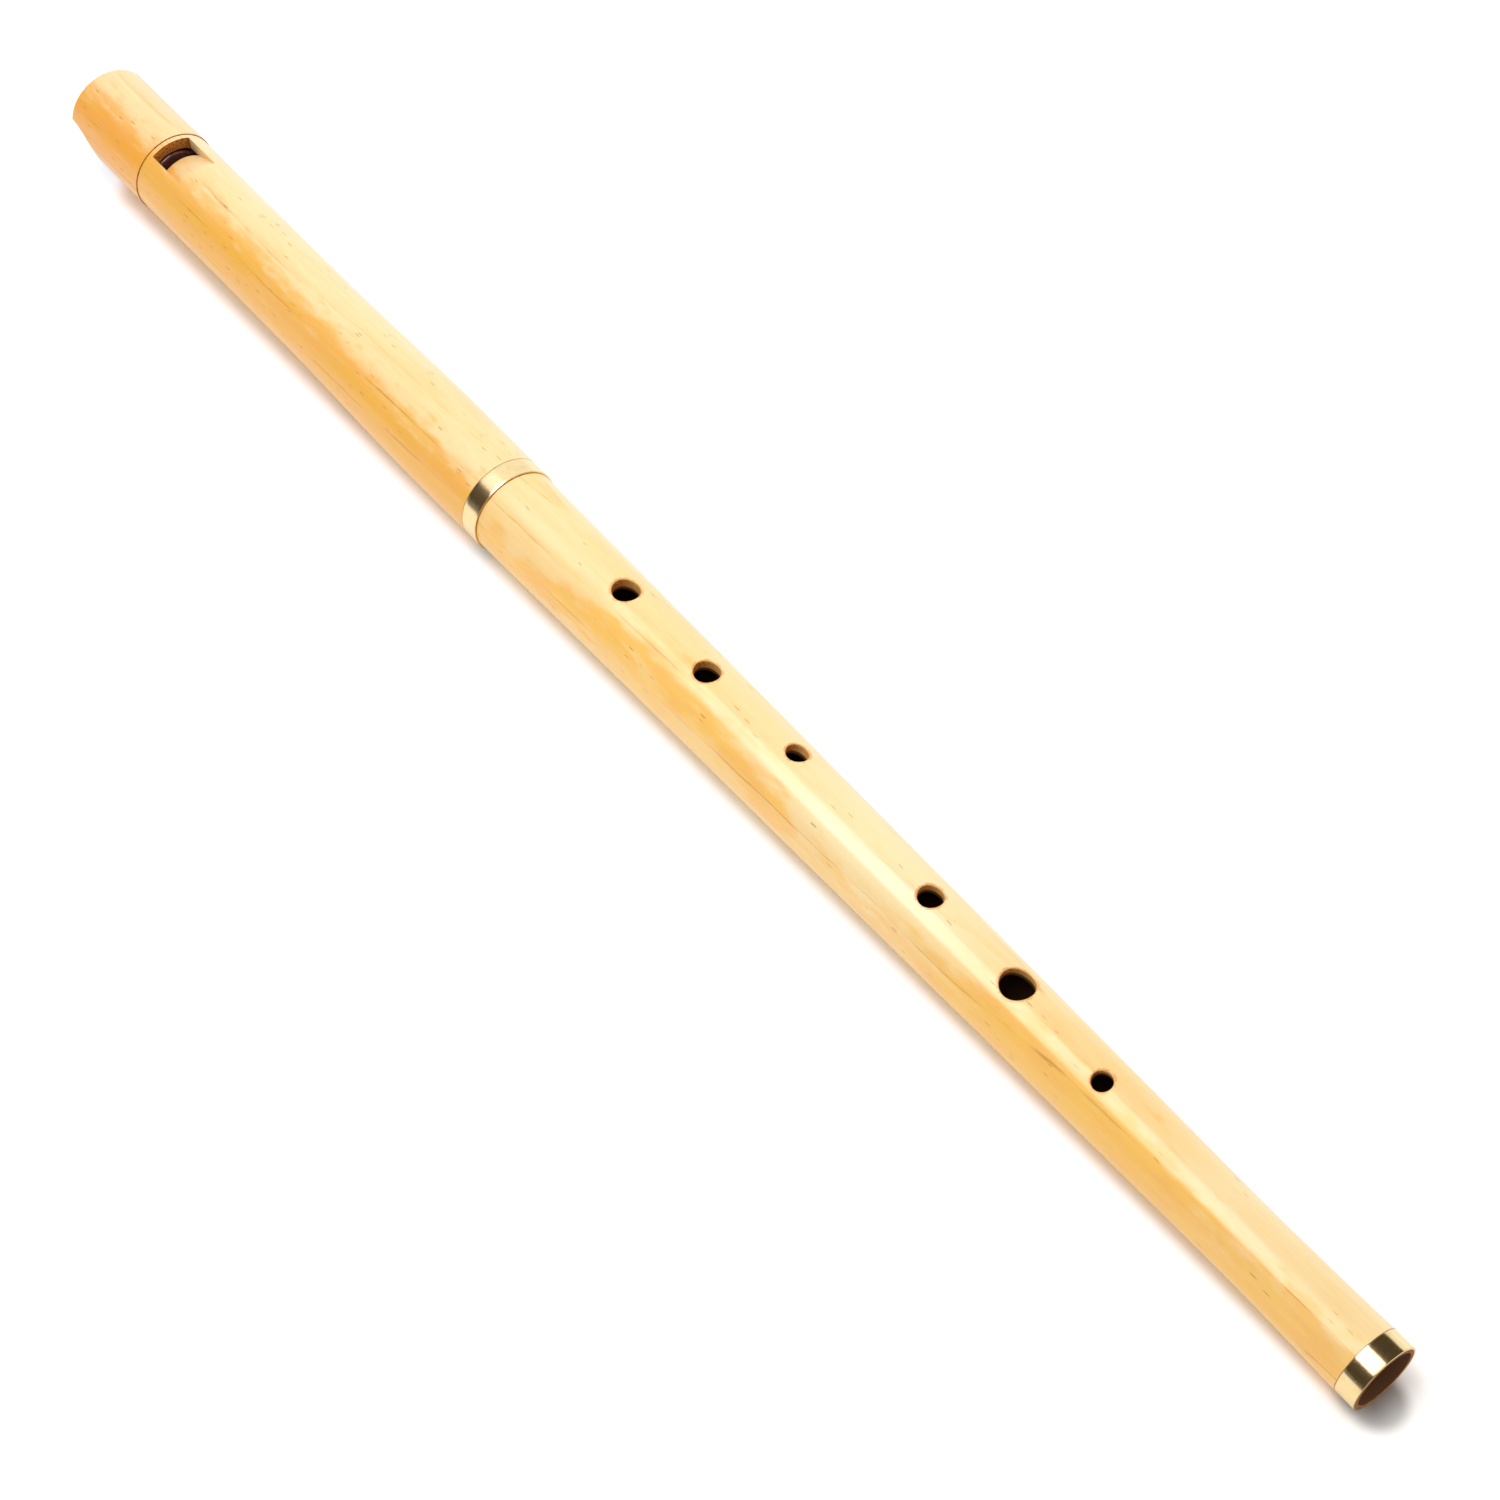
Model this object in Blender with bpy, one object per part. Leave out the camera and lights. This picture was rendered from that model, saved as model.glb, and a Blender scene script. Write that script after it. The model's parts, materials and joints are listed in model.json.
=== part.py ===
"""Low whistle of pale wood: a capped fipple head, a tuning joint and a tapered body with six holes.

The whistle lies along X with its mouthpiece at -X, its foot at +X and its finger holes facing +Z.
Lengths are in metres. A station is a distance along the tube from the tip of the mouthpiece.
"""
import math

import bmesh
import bpy
from mathutils import Matrix

# Turned surfaces and fits
FACETS = 48                      # sides of every turned surface, with a flat at the bottom
FIT_GAP = 0.0003                 # clearance between pieces that are glued, pressed or slid together
CUT_OVERRUN = 0.002              # how far a cutter runs past the surface that it leaves

# Mouthpiece cap
CAP_LENGTH = 0.0406
TIP_RADIUS = 0.01455
CAP_RADIUS = 0.01445
TIP_ROUNDING = 0.0008
SCOOP_RADIUS = 0.0165            # the hollow under the beak is a quarter round
BEAK_THICKNESS = 0.0108          # height of wood left at the tip, above the scoop
SPIGOT_LENGTH = 0.0220           # how far the head tube reaches into the cap
SPIGOT_RADIUS = 0.0123
EDGE_CHAMFER = 0.0003

# Head tube
HEAD_BORE_RADIUS = 0.0103
HEAD_LENGTH = 0.1895             # from the cap joint to the end that meets the body
HEAD_TOP_RADIUS = 0.01415
NECK_RADIUS = 0.0140
NECK_DISTANCE = 0.0840           # from the cap joint to the slimmest place
BARREL_RADIUS = 0.0148
BARREL_DISTANCE = 0.1500         # from the cap joint to the widest place, over the socket
HEAD_TURN = math.radians(7.5)    # the head stands turned a little from the row of finger holes

# Window, ramp and windway
WINDOW_SETBACK = 0.0018          # strip of wood between the cap joint and the window
WINDOW_LENGTH = 0.0052
WINDOW_WIDTH = 0.0137
RAMP_LENGTH = 0.0110
LABIUM_THICKNESS = 0.0004
WINDWAY_ENTRY_HEIGHT = 0.0016
WINDWAY_EXIT_HEIGHT = 0.0012
BLOCK_CHAMFER = 0.0007

# Tuning joint
TENON_LENGTH = 0.0290
TENON_RADIUS = 0.0115
SOCKET_CLEARANCE = 0.0006        # running clearance of the bare tenon in the socket, on the radius
SOCKET_END_GAP = 0.0010
CORK_LENGTH = 0.0180
CORK_THICKNESS = 0.0006
CORK_END_DISTANCE = 0.0050       # from the end of the tenon to the cork
CORK_CLEARANCE = 0.0003          # the cork's own clearance in the socket, on the radius

# Brass rings
SOCKET_RING_LENGTH = 0.0064
SOCKET_RING_RADIUS = 0.01445
SOCKET_RING_WALL = 0.0007
FOOT_RING_LENGTH = 0.0063
FOOT_RING_RADIUS = 0.0104
FOOT_RING_WALL = 0.0006
RING_CHAMFER = 0.00015

# Body tube
BODY_LENGTH = 0.3543             # from the shoulder at the tuning joint to the foot
SHOULDER_RADIUS = 0.0139
FLARE_LENGTH = 0.0600            # the last stretch of the body, where it widens to the foot
FLARE_START_RADIUS = 0.0100
FLARE_SLOPE = 0.022              # rise of the radius per length, at the foot
BODY_BORE_TOP_RADIUS = 0.0098
BODY_BORE_WAIST_RADIUS = 0.0077
BODY_BORE_FOOT_RADIUS = 0.0087
BORE_FLARE_LENGTH = 0.0500

# Finger holes, from the top of the body to the foot
HOLE_DISTANCES = (0.0536, 0.0910, 0.1282, 0.1865, 0.2209, 0.2556)   # from the shoulder
HOLE_DIAMETERS = (0.0083, 0.0078, 0.0066, 0.0073, 0.0098, 0.0058)
HOLE_TURNS = (0.0, 0.0, -10.5, 0.0, 0.0, 14.0)    # degrees about +X, for the two ring fingers
HOLE_ROUNDING = 0.0009
HOLE_SIDES = 28
ROUNDING_ARC = math.radians(68)  # the rounding stops short of a quarter circle and runs out straight

# Stations that follow from the sizes above
HEAD_START = CAP_LENGTH + FIT_GAP
HEAD_END = HEAD_START + HEAD_LENGTH
SHOULDER = HEAD_END + FIT_GAP
FOOT_END = SHOULDER + BODY_LENGTH
WINDOW_START = HEAD_START + WINDOW_SETBACK
LABIUM = WINDOW_START + WINDOW_LENGTH
SPIGOT_START = HEAD_START - SPIGOT_LENGTH
TENON_START = SHOULDER - TENON_LENGTH
SOCKET_START = TENON_START - SOCKET_END_GAP
SOCKET_RADIUS = TENON_RADIUS + SOCKET_CLEARANCE
CORK_RADIUS = SOCKET_RADIUS - CORK_CLEARANCE
SOCKET_RING_START = HEAD_END - SOCKET_RING_LENGTH
FOOT_RING_START = FOOT_END - FOOT_RING_LENGTH
WIDEST_RADIUS = max(BARREL_RADIUS, TIP_RADIUS, SHOULDER_RADIUS)


def ease(share):
    """A smooth rise from 0 to 1 that starts and ends level."""
    return (1 - math.cos(math.pi * share)) / 2


def steps(count):
    """Shares from 0 to 1 in equal steps, both ends included."""
    return [index / count for index in range(count + 1)]


def make_material(name, colour, roughness, metallic=0.0):
    material = bpy.data.materials.new(name)
    material.use_nodes = True
    shader = material.node_tree.nodes["Principled BSDF"]
    shader.inputs["Base Color"].default_value = (*colour, 1.0)
    shader.inputs["Roughness"].default_value = roughness
    shader.inputs["Metallic"].default_value = metallic
    return material


def add_object(name, mesh, material, parent):
    mesh.shade_smooth()
    mesh.set_sharp_from_angle(angle=math.radians(30))
    if material:
        mesh.materials.append(material)
    piece = bpy.data.objects.new(name, mesh)
    piece.parent = parent
    bpy.context.collection.objects.link(piece)
    return piece


def turn_on_lathe(name, outline, material, parent, origin):
    """Spin a closed outline of (station, radius) points round the tube's axis."""
    shape = bmesh.new()
    corners = [shape.verts.new((station - origin, 0, radius)) for station, radius in outline]
    edges = [shape.edges.new((corners[index - 1], corner)) for index, corner in enumerate(corners)]
    first_angle = Matrix.Rotation(math.pi / FACETS, 3, "X")
    bmesh.ops.rotate(shape, verts=corners, cent=(0, 0, 0), matrix=first_angle)
    bmesh.ops.spin(
        shape, geom=corners + edges, cent=(0, 0, 0), axis=(1, 0, 0),
        angle=2 * math.pi, steps=FACETS, use_merge=True)
    bmesh.ops.recalc_face_normals(shape, faces=shape.faces)
    mesh = bpy.data.meshes.new(name)
    shape.to_mesh(mesh)
    shape.free()
    piece = add_object(name, mesh, material, parent)
    piece.location.x = origin
    return piece


def make_plug(name, length, radius, material, parent):
    """A plain cylinder on the tube's axis, from the tip of the mouthpiece."""
    shape = bmesh.new()
    lie_down = Matrix.Rotation(math.pi / 2, 4, "Y") @ Matrix.Rotation(math.pi / FACETS, 4, "Z")
    bmesh.ops.create_cone(
        shape, cap_ends=True, segments=FACETS, radius1=radius, radius2=radius, depth=length,
        matrix=Matrix.Translation((length / 2, 0, 0)) @ lie_down)
    mesh = bpy.data.meshes.new(name)
    shape.to_mesh(mesh)
    shape.free()
    return add_object(name, mesh, material, parent)


def loft(name, sections, parent):
    """Skin a run of closed sections with equal counts of points, and close both ends."""
    shape = bmesh.new()
    rings = [[shape.verts.new(point) for point in section] for section in sections]
    for ring, next_ring in zip(rings, rings[1:]):
        for index in range(len(ring)):
            shape.faces.new((ring[index - 1], ring[index], next_ring[index], next_ring[index - 1]))
    shape.faces.new(rings[0])
    shape.faces.new(rings[-1])
    bmesh.ops.recalc_face_normals(shape, faces=shape.faces)
    mesh = bpy.data.meshes.new(name)
    shape.to_mesh(mesh)
    shape.free()
    return add_object(name, mesh, None, parent)


def cut(piece, cutter):
    """Take a cutter's shape out of a piece, and hide the cutter."""
    cutter.hide_render = True
    cutter.display_type = "WIRE"
    boolean = piece.modifiers.new(cutter.name, "BOOLEAN")
    boolean.operation = "DIFFERENCE"
    boolean.solver = "EXACT"
    boolean.object = cutter


def box_cutter(name, low, high, parent):
    """A plain block between two corners."""
    shape = bmesh.new()
    middle = [(a + b) / 2 for a, b in zip(low, high)]
    size = [b - a for a, b in zip(low, high)]
    bmesh.ops.create_cube(
        shape, size=1, matrix=Matrix.Translation(middle) @ Matrix.Diagonal((*size, 1)))
    mesh = bpy.data.meshes.new(name)
    shape.to_mesh(mesh)
    shape.free()
    return add_object(name, mesh, None, parent)


def arched_cutter(name, profile, parent):
    """A cutter as wide as the window, whose underside is an arch about the tube's axis.

    The profile gives the arch's radius at a run of stations.
    """
    top = WIDEST_RADIUS + CUT_OVERRUN
    sections = []
    for share in steps(12):
        side = WINDOW_WIDTH * (share - 0.5)
        section = [(station, side, math.sqrt(radius ** 2 - side ** 2)) for station, radius in profile]
        section.append((profile[-1][0], side, top))
        section.append((profile[0][0], side, top))
        sections.append(section)
    return loft(name, sections, parent)


def scoop_cutter(name, parent):
    """The quarter round under the beak: a drum across the tube, below the tip."""
    sections = []
    drum_height = TIP_RADIUS - BEAK_THICKNESS - SCOOP_RADIUS
    for side in (-WIDEST_RADIUS - CUT_OVERRUN, WIDEST_RADIUS + CUT_OVERRUN):
        section = []
        for index in range(2 * FACETS):
            angle = 2 * math.pi * index / (2 * FACETS)
            section.append((SCOOP_RADIUS * math.sin(angle), side, drum_height + SCOOP_RADIUS * math.cos(angle)))
        sections.append(section)
    return loft(name, sections, parent)


def head_radius(station):
    """Outer radius of the head tube: a slim neck, then a barrel over the socket."""
    distance = station - HEAD_START
    if distance < NECK_DISTANCE:
        return HEAD_TOP_RADIUS + (NECK_RADIUS - HEAD_TOP_RADIUS) * ease(distance / NECK_DISTANCE)
    if distance < BARREL_DISTANCE:
        share = (distance - NECK_DISTANCE) / (BARREL_DISTANCE - NECK_DISTANCE)
        return NECK_RADIUS + (BARREL_RADIUS - NECK_RADIUS) * ease(share)
    share = (distance - BARREL_DISTANCE) / (HEAD_LENGTH - SOCKET_RING_LENGTH - BARREL_DISTANCE)
    return BARREL_RADIUS - (BARREL_RADIUS - SOCKET_RING_RADIUS) * share ** 2


def body_radius(distance):
    """Outer radius of the body at a distance from its shoulder: a straight taper, then a flare."""
    taper_length = BODY_LENGTH - FLARE_LENGTH
    slope = (FLARE_START_RADIUS - SHOULDER_RADIUS) / taper_length
    if distance <= taper_length:
        return SHOULDER_RADIUS + slope * distance
    flare = FLARE_LENGTH - FOOT_RING_LENGTH
    share = min((distance - taper_length) / flare, 1.0)
    start_weight = 2 * share ** 3 - 3 * share ** 2 + 1
    start_slope_weight = share ** 3 - 2 * share ** 2 + share
    end_slope_weight = share ** 3 - share ** 2
    return (start_weight * FLARE_START_RADIUS + (1 - start_weight) * FOOT_RING_RADIUS
            + flare * (start_slope_weight * slope + end_slope_weight * FLARE_SLOPE))


def head_stations():
    """Stations of the head tube's outline, from its top to the seat of its ring."""
    neck = [HEAD_START + NECK_DISTANCE * share for share in steps(4)]
    rise = [HEAD_START + NECK_DISTANCE + (BARREL_DISTANCE - NECK_DISTANCE) * share for share in steps(8)]
    fall_length = SOCKET_RING_START - FIT_GAP - HEAD_START - BARREL_DISTANCE
    fall = [HEAD_START + BARREL_DISTANCE + fall_length * share for share in steps(4)]
    return neck[1:] + rise[1:] + fall[1:]


def lying_pose():
    """Tilt of the axis, and the tip's height, when the barrel and the foot ring lie on a flat surface."""
    flat_share = math.cos(math.pi / FACETS)
    foot_edge = FOOT_END - RING_CHAMFER
    tilt, barrel = max(
        (math.atan((head_radius(station) - FOOT_RING_RADIUS) * flat_share / (foot_edge - station)), station)
        for station in head_stations())
    tip_height = head_radius(barrel) * flat_share * math.cos(tilt) + barrel * math.sin(tilt)
    return tilt, tip_height


def build_mouthpiece_cap(parent, wood):
    """The beak: a turned sleeve over the head tube's spigot, scooped out below its tip."""
    round_edge = []
    for share in steps(4):
        angle = share * math.pi / 2
        station = TIP_ROUNDING * (1 - math.sin(angle))
        radius = TIP_RADIUS - TIP_ROUNDING * (1 - math.cos(angle))
        round_edge.append((station, radius))
    shoulder = SPIGOT_START - FIT_GAP
    outline = [
        (0, HEAD_BORE_RADIUS),
        *reversed(round_edge),
        (CAP_LENGTH - EDGE_CHAMFER, CAP_RADIUS),
        (CAP_LENGTH, CAP_RADIUS - EDGE_CHAMFER),
        (CAP_LENGTH, SPIGOT_RADIUS + FIT_GAP),
        (shoulder, SPIGOT_RADIUS + FIT_GAP),
        (shoulder, HEAD_BORE_RADIUS),
    ]
    cap = turn_on_lathe("mouthpiece_cap", outline, wood, parent, 0)
    cut(cap, scoop_cutter("cap_scoop_cutter", parent))


def build_fipple_block(parent, dark_wood):
    """The plug that fills the bore up to the window; its arched top is the windway's floor."""
    block = make_plug("fipple_block", WINDOW_START, HEAD_BORE_RADIUS - FIT_GAP, dark_wood, parent)
    exit_radius = HEAD_BORE_RADIUS - WINDWAY_EXIT_HEIGHT
    entry_radius = HEAD_BORE_RADIUS - WINDWAY_ENTRY_HEIGHT
    overrun_share = CUT_OVERRUN / (WINDOW_START - BLOCK_CHAMFER)
    floor = [
        (-CUT_OVERRUN, entry_radius - (exit_radius - entry_radius) * overrun_share),
        (WINDOW_START - BLOCK_CHAMFER, exit_radius),
        (WINDOW_START + BLOCK_CHAMFER, exit_radius - 2 * BLOCK_CHAMFER),
    ]
    cut(block, arched_cutter("windway_cutter", floor, parent))
    cut(block, scoop_cutter("block_scoop_cutter", parent))


def build_head_tube(parent, wood):
    """The head: spigot, window with its ramp, barrel and the socket for the body's tenon."""
    ring_seat = SOCKET_RING_RADIUS - SOCKET_RING_WALL - FIT_GAP
    outline = [
        (SPIGOT_START, HEAD_BORE_RADIUS),
        (SPIGOT_START, SPIGOT_RADIUS - EDGE_CHAMFER),
        (SPIGOT_START + EDGE_CHAMFER, SPIGOT_RADIUS),
        (HEAD_START, SPIGOT_RADIUS),
        (HEAD_START, HEAD_TOP_RADIUS - EDGE_CHAMFER),
        (HEAD_START + EDGE_CHAMFER, HEAD_TOP_RADIUS),
        *[(station, head_radius(station)) for station in head_stations()],
        (SOCKET_RING_START - FIT_GAP, ring_seat),
        (HEAD_END, ring_seat),
        (HEAD_END, SOCKET_RADIUS),
        (SOCKET_START, SOCKET_RADIUS),
        (SOCKET_START, HEAD_BORE_RADIUS),
    ]
    head = turn_on_lathe("head_tube", outline, wood, parent, SPIGOT_START)

    below_the_wall = HEAD_BORE_RADIUS / 2
    above_the_wall = WIDEST_RADIUS + CUT_OVERRUN
    window = box_cutter(
        "window_cutter",
        (WINDOW_START, -WINDOW_WIDTH / 2, below_the_wall),
        (LABIUM, WINDOW_WIDTH / 2, above_the_wall), parent)
    cut(head, window)

    labium_radius = HEAD_BORE_RADIUS + LABIUM_THICKNESS
    ramp_slope = (HEAD_TOP_RADIUS - labium_radius) / RAMP_LENGTH
    run_in = WINDOW_LENGTH / 4
    run_out = RAMP_LENGTH + CUT_OVERRUN
    ramp = [
        (LABIUM - run_in, labium_radius - ramp_slope * run_in),
        (LABIUM + run_out, labium_radius + ramp_slope * run_out),
    ]
    cut(head, arched_cutter("ramp_cutter", ramp, parent))


def build_ring(name, start, end, radius, wall, brass, parent):
    """A plain brass ring with small chamfers, let into the wood so that it ends flush."""
    outline = [
        (start, radius - wall),
        (start, radius - RING_CHAMFER),
        (start + RING_CHAMFER, radius),
        (end - RING_CHAMFER, radius),
        (end, radius - RING_CHAMFER),
        (end, radius - wall),
    ]
    turn_on_lathe(name, outline, brass, parent, start)


def build_tenon_cork(parent, cork):
    """A sleeve of cork in the tenon's groove, which grips the socket."""
    start = TENON_START + CORK_END_DISTANCE
    end = start + CORK_LENGTH
    outline = [
        (start, CORK_RADIUS - CORK_THICKNESS),
        (start, CORK_RADIUS),
        (end, CORK_RADIUS),
        (end, CORK_RADIUS - CORK_THICKNESS),
    ]
    turn_on_lathe("tenon_cork", outline, cork, parent, start)


def hole_cutter(name, distance, diameter, turn, parent):
    """A finger hole, whose edge is rounded over all along the curve of the tube."""
    angles = [2 * math.pi * index / HOLE_SIDES for index in range(HOLE_SIDES)]

    def level_ring(radius, height):
        return [(radius * math.cos(angle), radius * math.sin(angle), height) for angle in angles]

    def surface_ring(radius, depth):
        points = []
        for along, across, _ in level_ring(radius, 0):
            surface = math.sqrt(body_radius(distance + along) ** 2 - across ** 2)
            points.append((along, across, surface - depth))
        return points

    hole_radius = diameter / 2
    sections = [level_ring(hole_radius, 0)]
    for share in steps(4):
        angle = share * ROUNDING_ARC
        spread = HOLE_ROUNDING * (1 - math.cos(angle))
        depth = HOLE_ROUNDING * (1 - math.sin(angle))
        sections.append(surface_ring(hole_radius + spread, depth))
    run_out = HOLE_ROUNDING / 2
    mouth_radius = hole_radius + spread + run_out
    sections.append(surface_ring(mouth_radius, depth - run_out / math.tan(ROUNDING_ARC)))
    sections.append(level_ring(mouth_radius, WIDEST_RADIUS + CUT_OVERRUN))

    cutter = loft(name, sections, parent)
    cutter.location.x = SHOULDER + distance
    cutter.rotation_euler.x = math.radians(turn)
    return cutter


def build_body_tube(parent, wood):
    """The body: tenon with its cork groove, a long taper with six holes, and a flared foot."""
    groove_start = TENON_START + CORK_END_DISTANCE - FIT_GAP
    groove_end = groove_start + CORK_LENGTH + 2 * FIT_GAP
    groove_radius = CORK_RADIUS - CORK_THICKNESS - FIT_GAP
    flare_start = SHOULDER + BODY_LENGTH - FLARE_LENGTH
    ring_stop = FOOT_RING_START - FIT_GAP
    flare = [flare_start + (ring_stop - flare_start) * share for share in steps(8)]
    ring_seat = FOOT_RING_RADIUS - FOOT_RING_WALL - FIT_GAP
    bore_flare = []
    for share in steps(6):
        station = FOOT_END - BORE_FLARE_LENGTH * share
        radius = BODY_BORE_FOOT_RADIUS + (BODY_BORE_WAIST_RADIUS - BODY_BORE_FOOT_RADIUS) * ease(share)
        bore_flare.append((station, radius))
    outline = [
        (TENON_START, BODY_BORE_TOP_RADIUS),
        (TENON_START, TENON_RADIUS - EDGE_CHAMFER),
        (TENON_START + EDGE_CHAMFER, TENON_RADIUS),
        (groove_start, TENON_RADIUS),
        (groove_start, groove_radius),
        (groove_end, groove_radius),
        (groove_end, TENON_RADIUS),
        (SHOULDER, TENON_RADIUS),
        (SHOULDER, SHOULDER_RADIUS - EDGE_CHAMFER),
        (SHOULDER + EDGE_CHAMFER, body_radius(EDGE_CHAMFER)),
        *[(station, body_radius(station - SHOULDER)) for station in flare],
        (ring_stop, ring_seat),
        (FOOT_END, ring_seat),
        *bore_flare,
    ]
    body = turn_on_lathe("body_tube", outline, wood, parent, TENON_START)
    holes = zip(HOLE_DISTANCES, HOLE_DIAMETERS, HOLE_TURNS)
    for number, (distance, diameter, turn) in enumerate(holes, start=1):
        cut(body, hole_cutter(f"hole_{number}_cutter", distance, diameter, turn, parent))


def build_whistle():
    for leftover in list(bpy.data.objects):
        bpy.data.objects.remove(leftover)

    wood = make_material("pale_wood", (0.83, 0.60, 0.28), 0.38)
    dark_wood = make_material("dark_block_wood", (0.075, 0.030, 0.035), 0.30)
    cork = make_material("cork", (0.52, 0.33, 0.17), 0.85)
    brass = make_material("brass", (0.86, 0.68, 0.32), 0.16, metallic=1.0)

    tilt, tip_height = lying_pose()
    body_axis = bpy.data.objects.new("body_axis", None)
    body_axis.location = (-FOOT_END * math.cos(tilt) / 2, 0, tip_height)
    body_axis.rotation_euler.y = tilt
    head_axis = bpy.data.objects.new("head_axis", None)
    head_axis.parent = body_axis
    head_axis.rotation_euler.x = HEAD_TURN
    bpy.context.collection.objects.link(body_axis)
    bpy.context.collection.objects.link(head_axis)

    build_mouthpiece_cap(head_axis, wood)
    build_fipple_block(head_axis, dark_wood)
    build_head_tube(head_axis, wood)
    build_ring("socket_ferrule", SOCKET_RING_START, HEAD_END, SOCKET_RING_RADIUS,
               SOCKET_RING_WALL, brass, head_axis)
    build_tenon_cork(body_axis, cork)
    build_body_tube(body_axis, wood)
    build_ring("foot_ferrule", FOOT_RING_START, FOOT_END, FOOT_RING_RADIUS,
               FOOT_RING_WALL, brass, body_axis)


build_whistle()
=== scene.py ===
import json
import math

import bpy
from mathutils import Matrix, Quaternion, Vector


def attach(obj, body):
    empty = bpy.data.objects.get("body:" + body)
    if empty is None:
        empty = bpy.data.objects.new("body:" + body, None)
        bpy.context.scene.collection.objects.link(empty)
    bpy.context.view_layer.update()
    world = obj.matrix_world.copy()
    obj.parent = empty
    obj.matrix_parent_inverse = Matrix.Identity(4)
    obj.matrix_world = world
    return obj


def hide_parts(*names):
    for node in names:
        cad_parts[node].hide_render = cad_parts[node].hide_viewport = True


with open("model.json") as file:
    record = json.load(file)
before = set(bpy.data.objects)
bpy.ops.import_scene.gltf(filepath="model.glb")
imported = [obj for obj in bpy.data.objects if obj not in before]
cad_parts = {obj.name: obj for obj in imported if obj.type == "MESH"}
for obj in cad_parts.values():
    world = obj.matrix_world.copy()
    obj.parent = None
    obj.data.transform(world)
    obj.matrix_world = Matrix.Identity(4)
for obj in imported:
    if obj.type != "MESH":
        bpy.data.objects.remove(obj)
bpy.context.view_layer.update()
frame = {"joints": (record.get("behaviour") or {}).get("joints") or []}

# The whistle lies on its barrel and its foot ring, so its axis dips a little towards the foot.
# Every piece is modelled along X, with the tip of the mouthpiece at the origin, and then laid on
# that axis. Lengths are in metres, and a station is a distance from the tip.
SHOULDER = 0.2307                  # where the head meets the body
turning_joint = next(joint for joint in frame["joints"] if joint["name"] == "head_turn")
whistle_axis = Vector(turning_joint["axis"])
TIP_PLACE = Vector(turning_joint["pos_m"]) - SHOULDER * whistle_axis
TILT = math.asin(-whistle_axis.z)


# Body tube: one length of pale lacquered wood, bored from both ends, turned to a long taper that
# flares at the foot, with a tenon at its top. Six finger holes are drilled through its wall, and
# their edges are rounded over by hand along the curve of the tube.
TENON_START = 0.2017
TENON_RADIUS = 0.0115
GROOVE_START = 0.2064              # the cork's groove
GROOVE_END = 0.2250
GROOVE_RADIUS = 0.0109
BODY_LENGTH = 0.3543
SHOULDER_FACE = SHOULDER - 0.00018     # the head all but closes on it
SHOULDER_RADIUS = 0.0139
FLARE_LENGTH = 0.0600
FLARE_START_RADIUS = 0.0100
FLARE_SLOPE = 0.022
FOOT_END = SHOULDER + BODY_LENGTH
FOOT_RING_LENGTH = 0.0063
FOOT_RING_RADIUS = 0.0104
FOOT_RING_WALL = 0.0006
RING_SEAM = 0.00006                # hairline between a ring and its wood
BODY_BORE_TOP = 0.0098
BODY_BORE_WAIST = 0.0077
BODY_BORE_FOOT = 0.0087
BORE_FLARE_LENGTH = 0.0500
HOLE_DISTANCES = (0.0536, 0.0910, 0.1282, 0.1865, 0.2209, 0.2556)    # from the shoulder
HOLE_DIAMETERS = (0.0083, 0.0078, 0.0066, 0.0073, 0.0098, 0.0058)
HOLE_TURNS = (0.0, 0.0, -10.5, 0.0, 0.0, 14.0)    # degrees, for the two ring fingers
HOLE_ROUNDING = 0.0005
ROUNDING_ARC = math.radians(68)
ROUNDING_STEPS = 8
CLEAR_OF_THE_WOOD = 0.0180         # height that every cutter reaches
SIDES = 192                        # of every turned surface
ROUND_SHARE = math.cos(math.pi / 48)    # keeps a round piece inside the solid's 48 flats
WELD = 0.000002                    # points nearer than this are one point
SANDED_EDGE = 0.00006
SHARP_EDGE = math.radians(35)
SMOOTH_EDGE = math.radians(32)


def body_radius(distance):
    """Outer radius of the body at a distance from its shoulder: a straight taper, then a flare."""
    taper_length = BODY_LENGTH - FLARE_LENGTH
    slope = (FLARE_START_RADIUS - SHOULDER_RADIUS) / taper_length
    if distance <= taper_length:
        return SHOULDER_RADIUS + slope * distance
    flare = FLARE_LENGTH - FOOT_RING_LENGTH
    share = min((distance - taper_length) / flare, 1.0)
    start_weight = 2 * share ** 3 - 3 * share ** 2 + 1
    start_slope_weight = share ** 3 - 2 * share ** 2 + share
    end_slope_weight = share ** 3 - share ** 2
    return (start_weight * FLARE_START_RADIUS + (1 - start_weight) * FOOT_RING_RADIUS
            + flare * (start_slope_weight * slope + end_slope_weight * FLARE_SLOPE))


def run(start, end, count):
    """Stations in equal steps from start to end, both included."""
    return [start + (end - start) * step / count for step in range(count + 1)]


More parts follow.
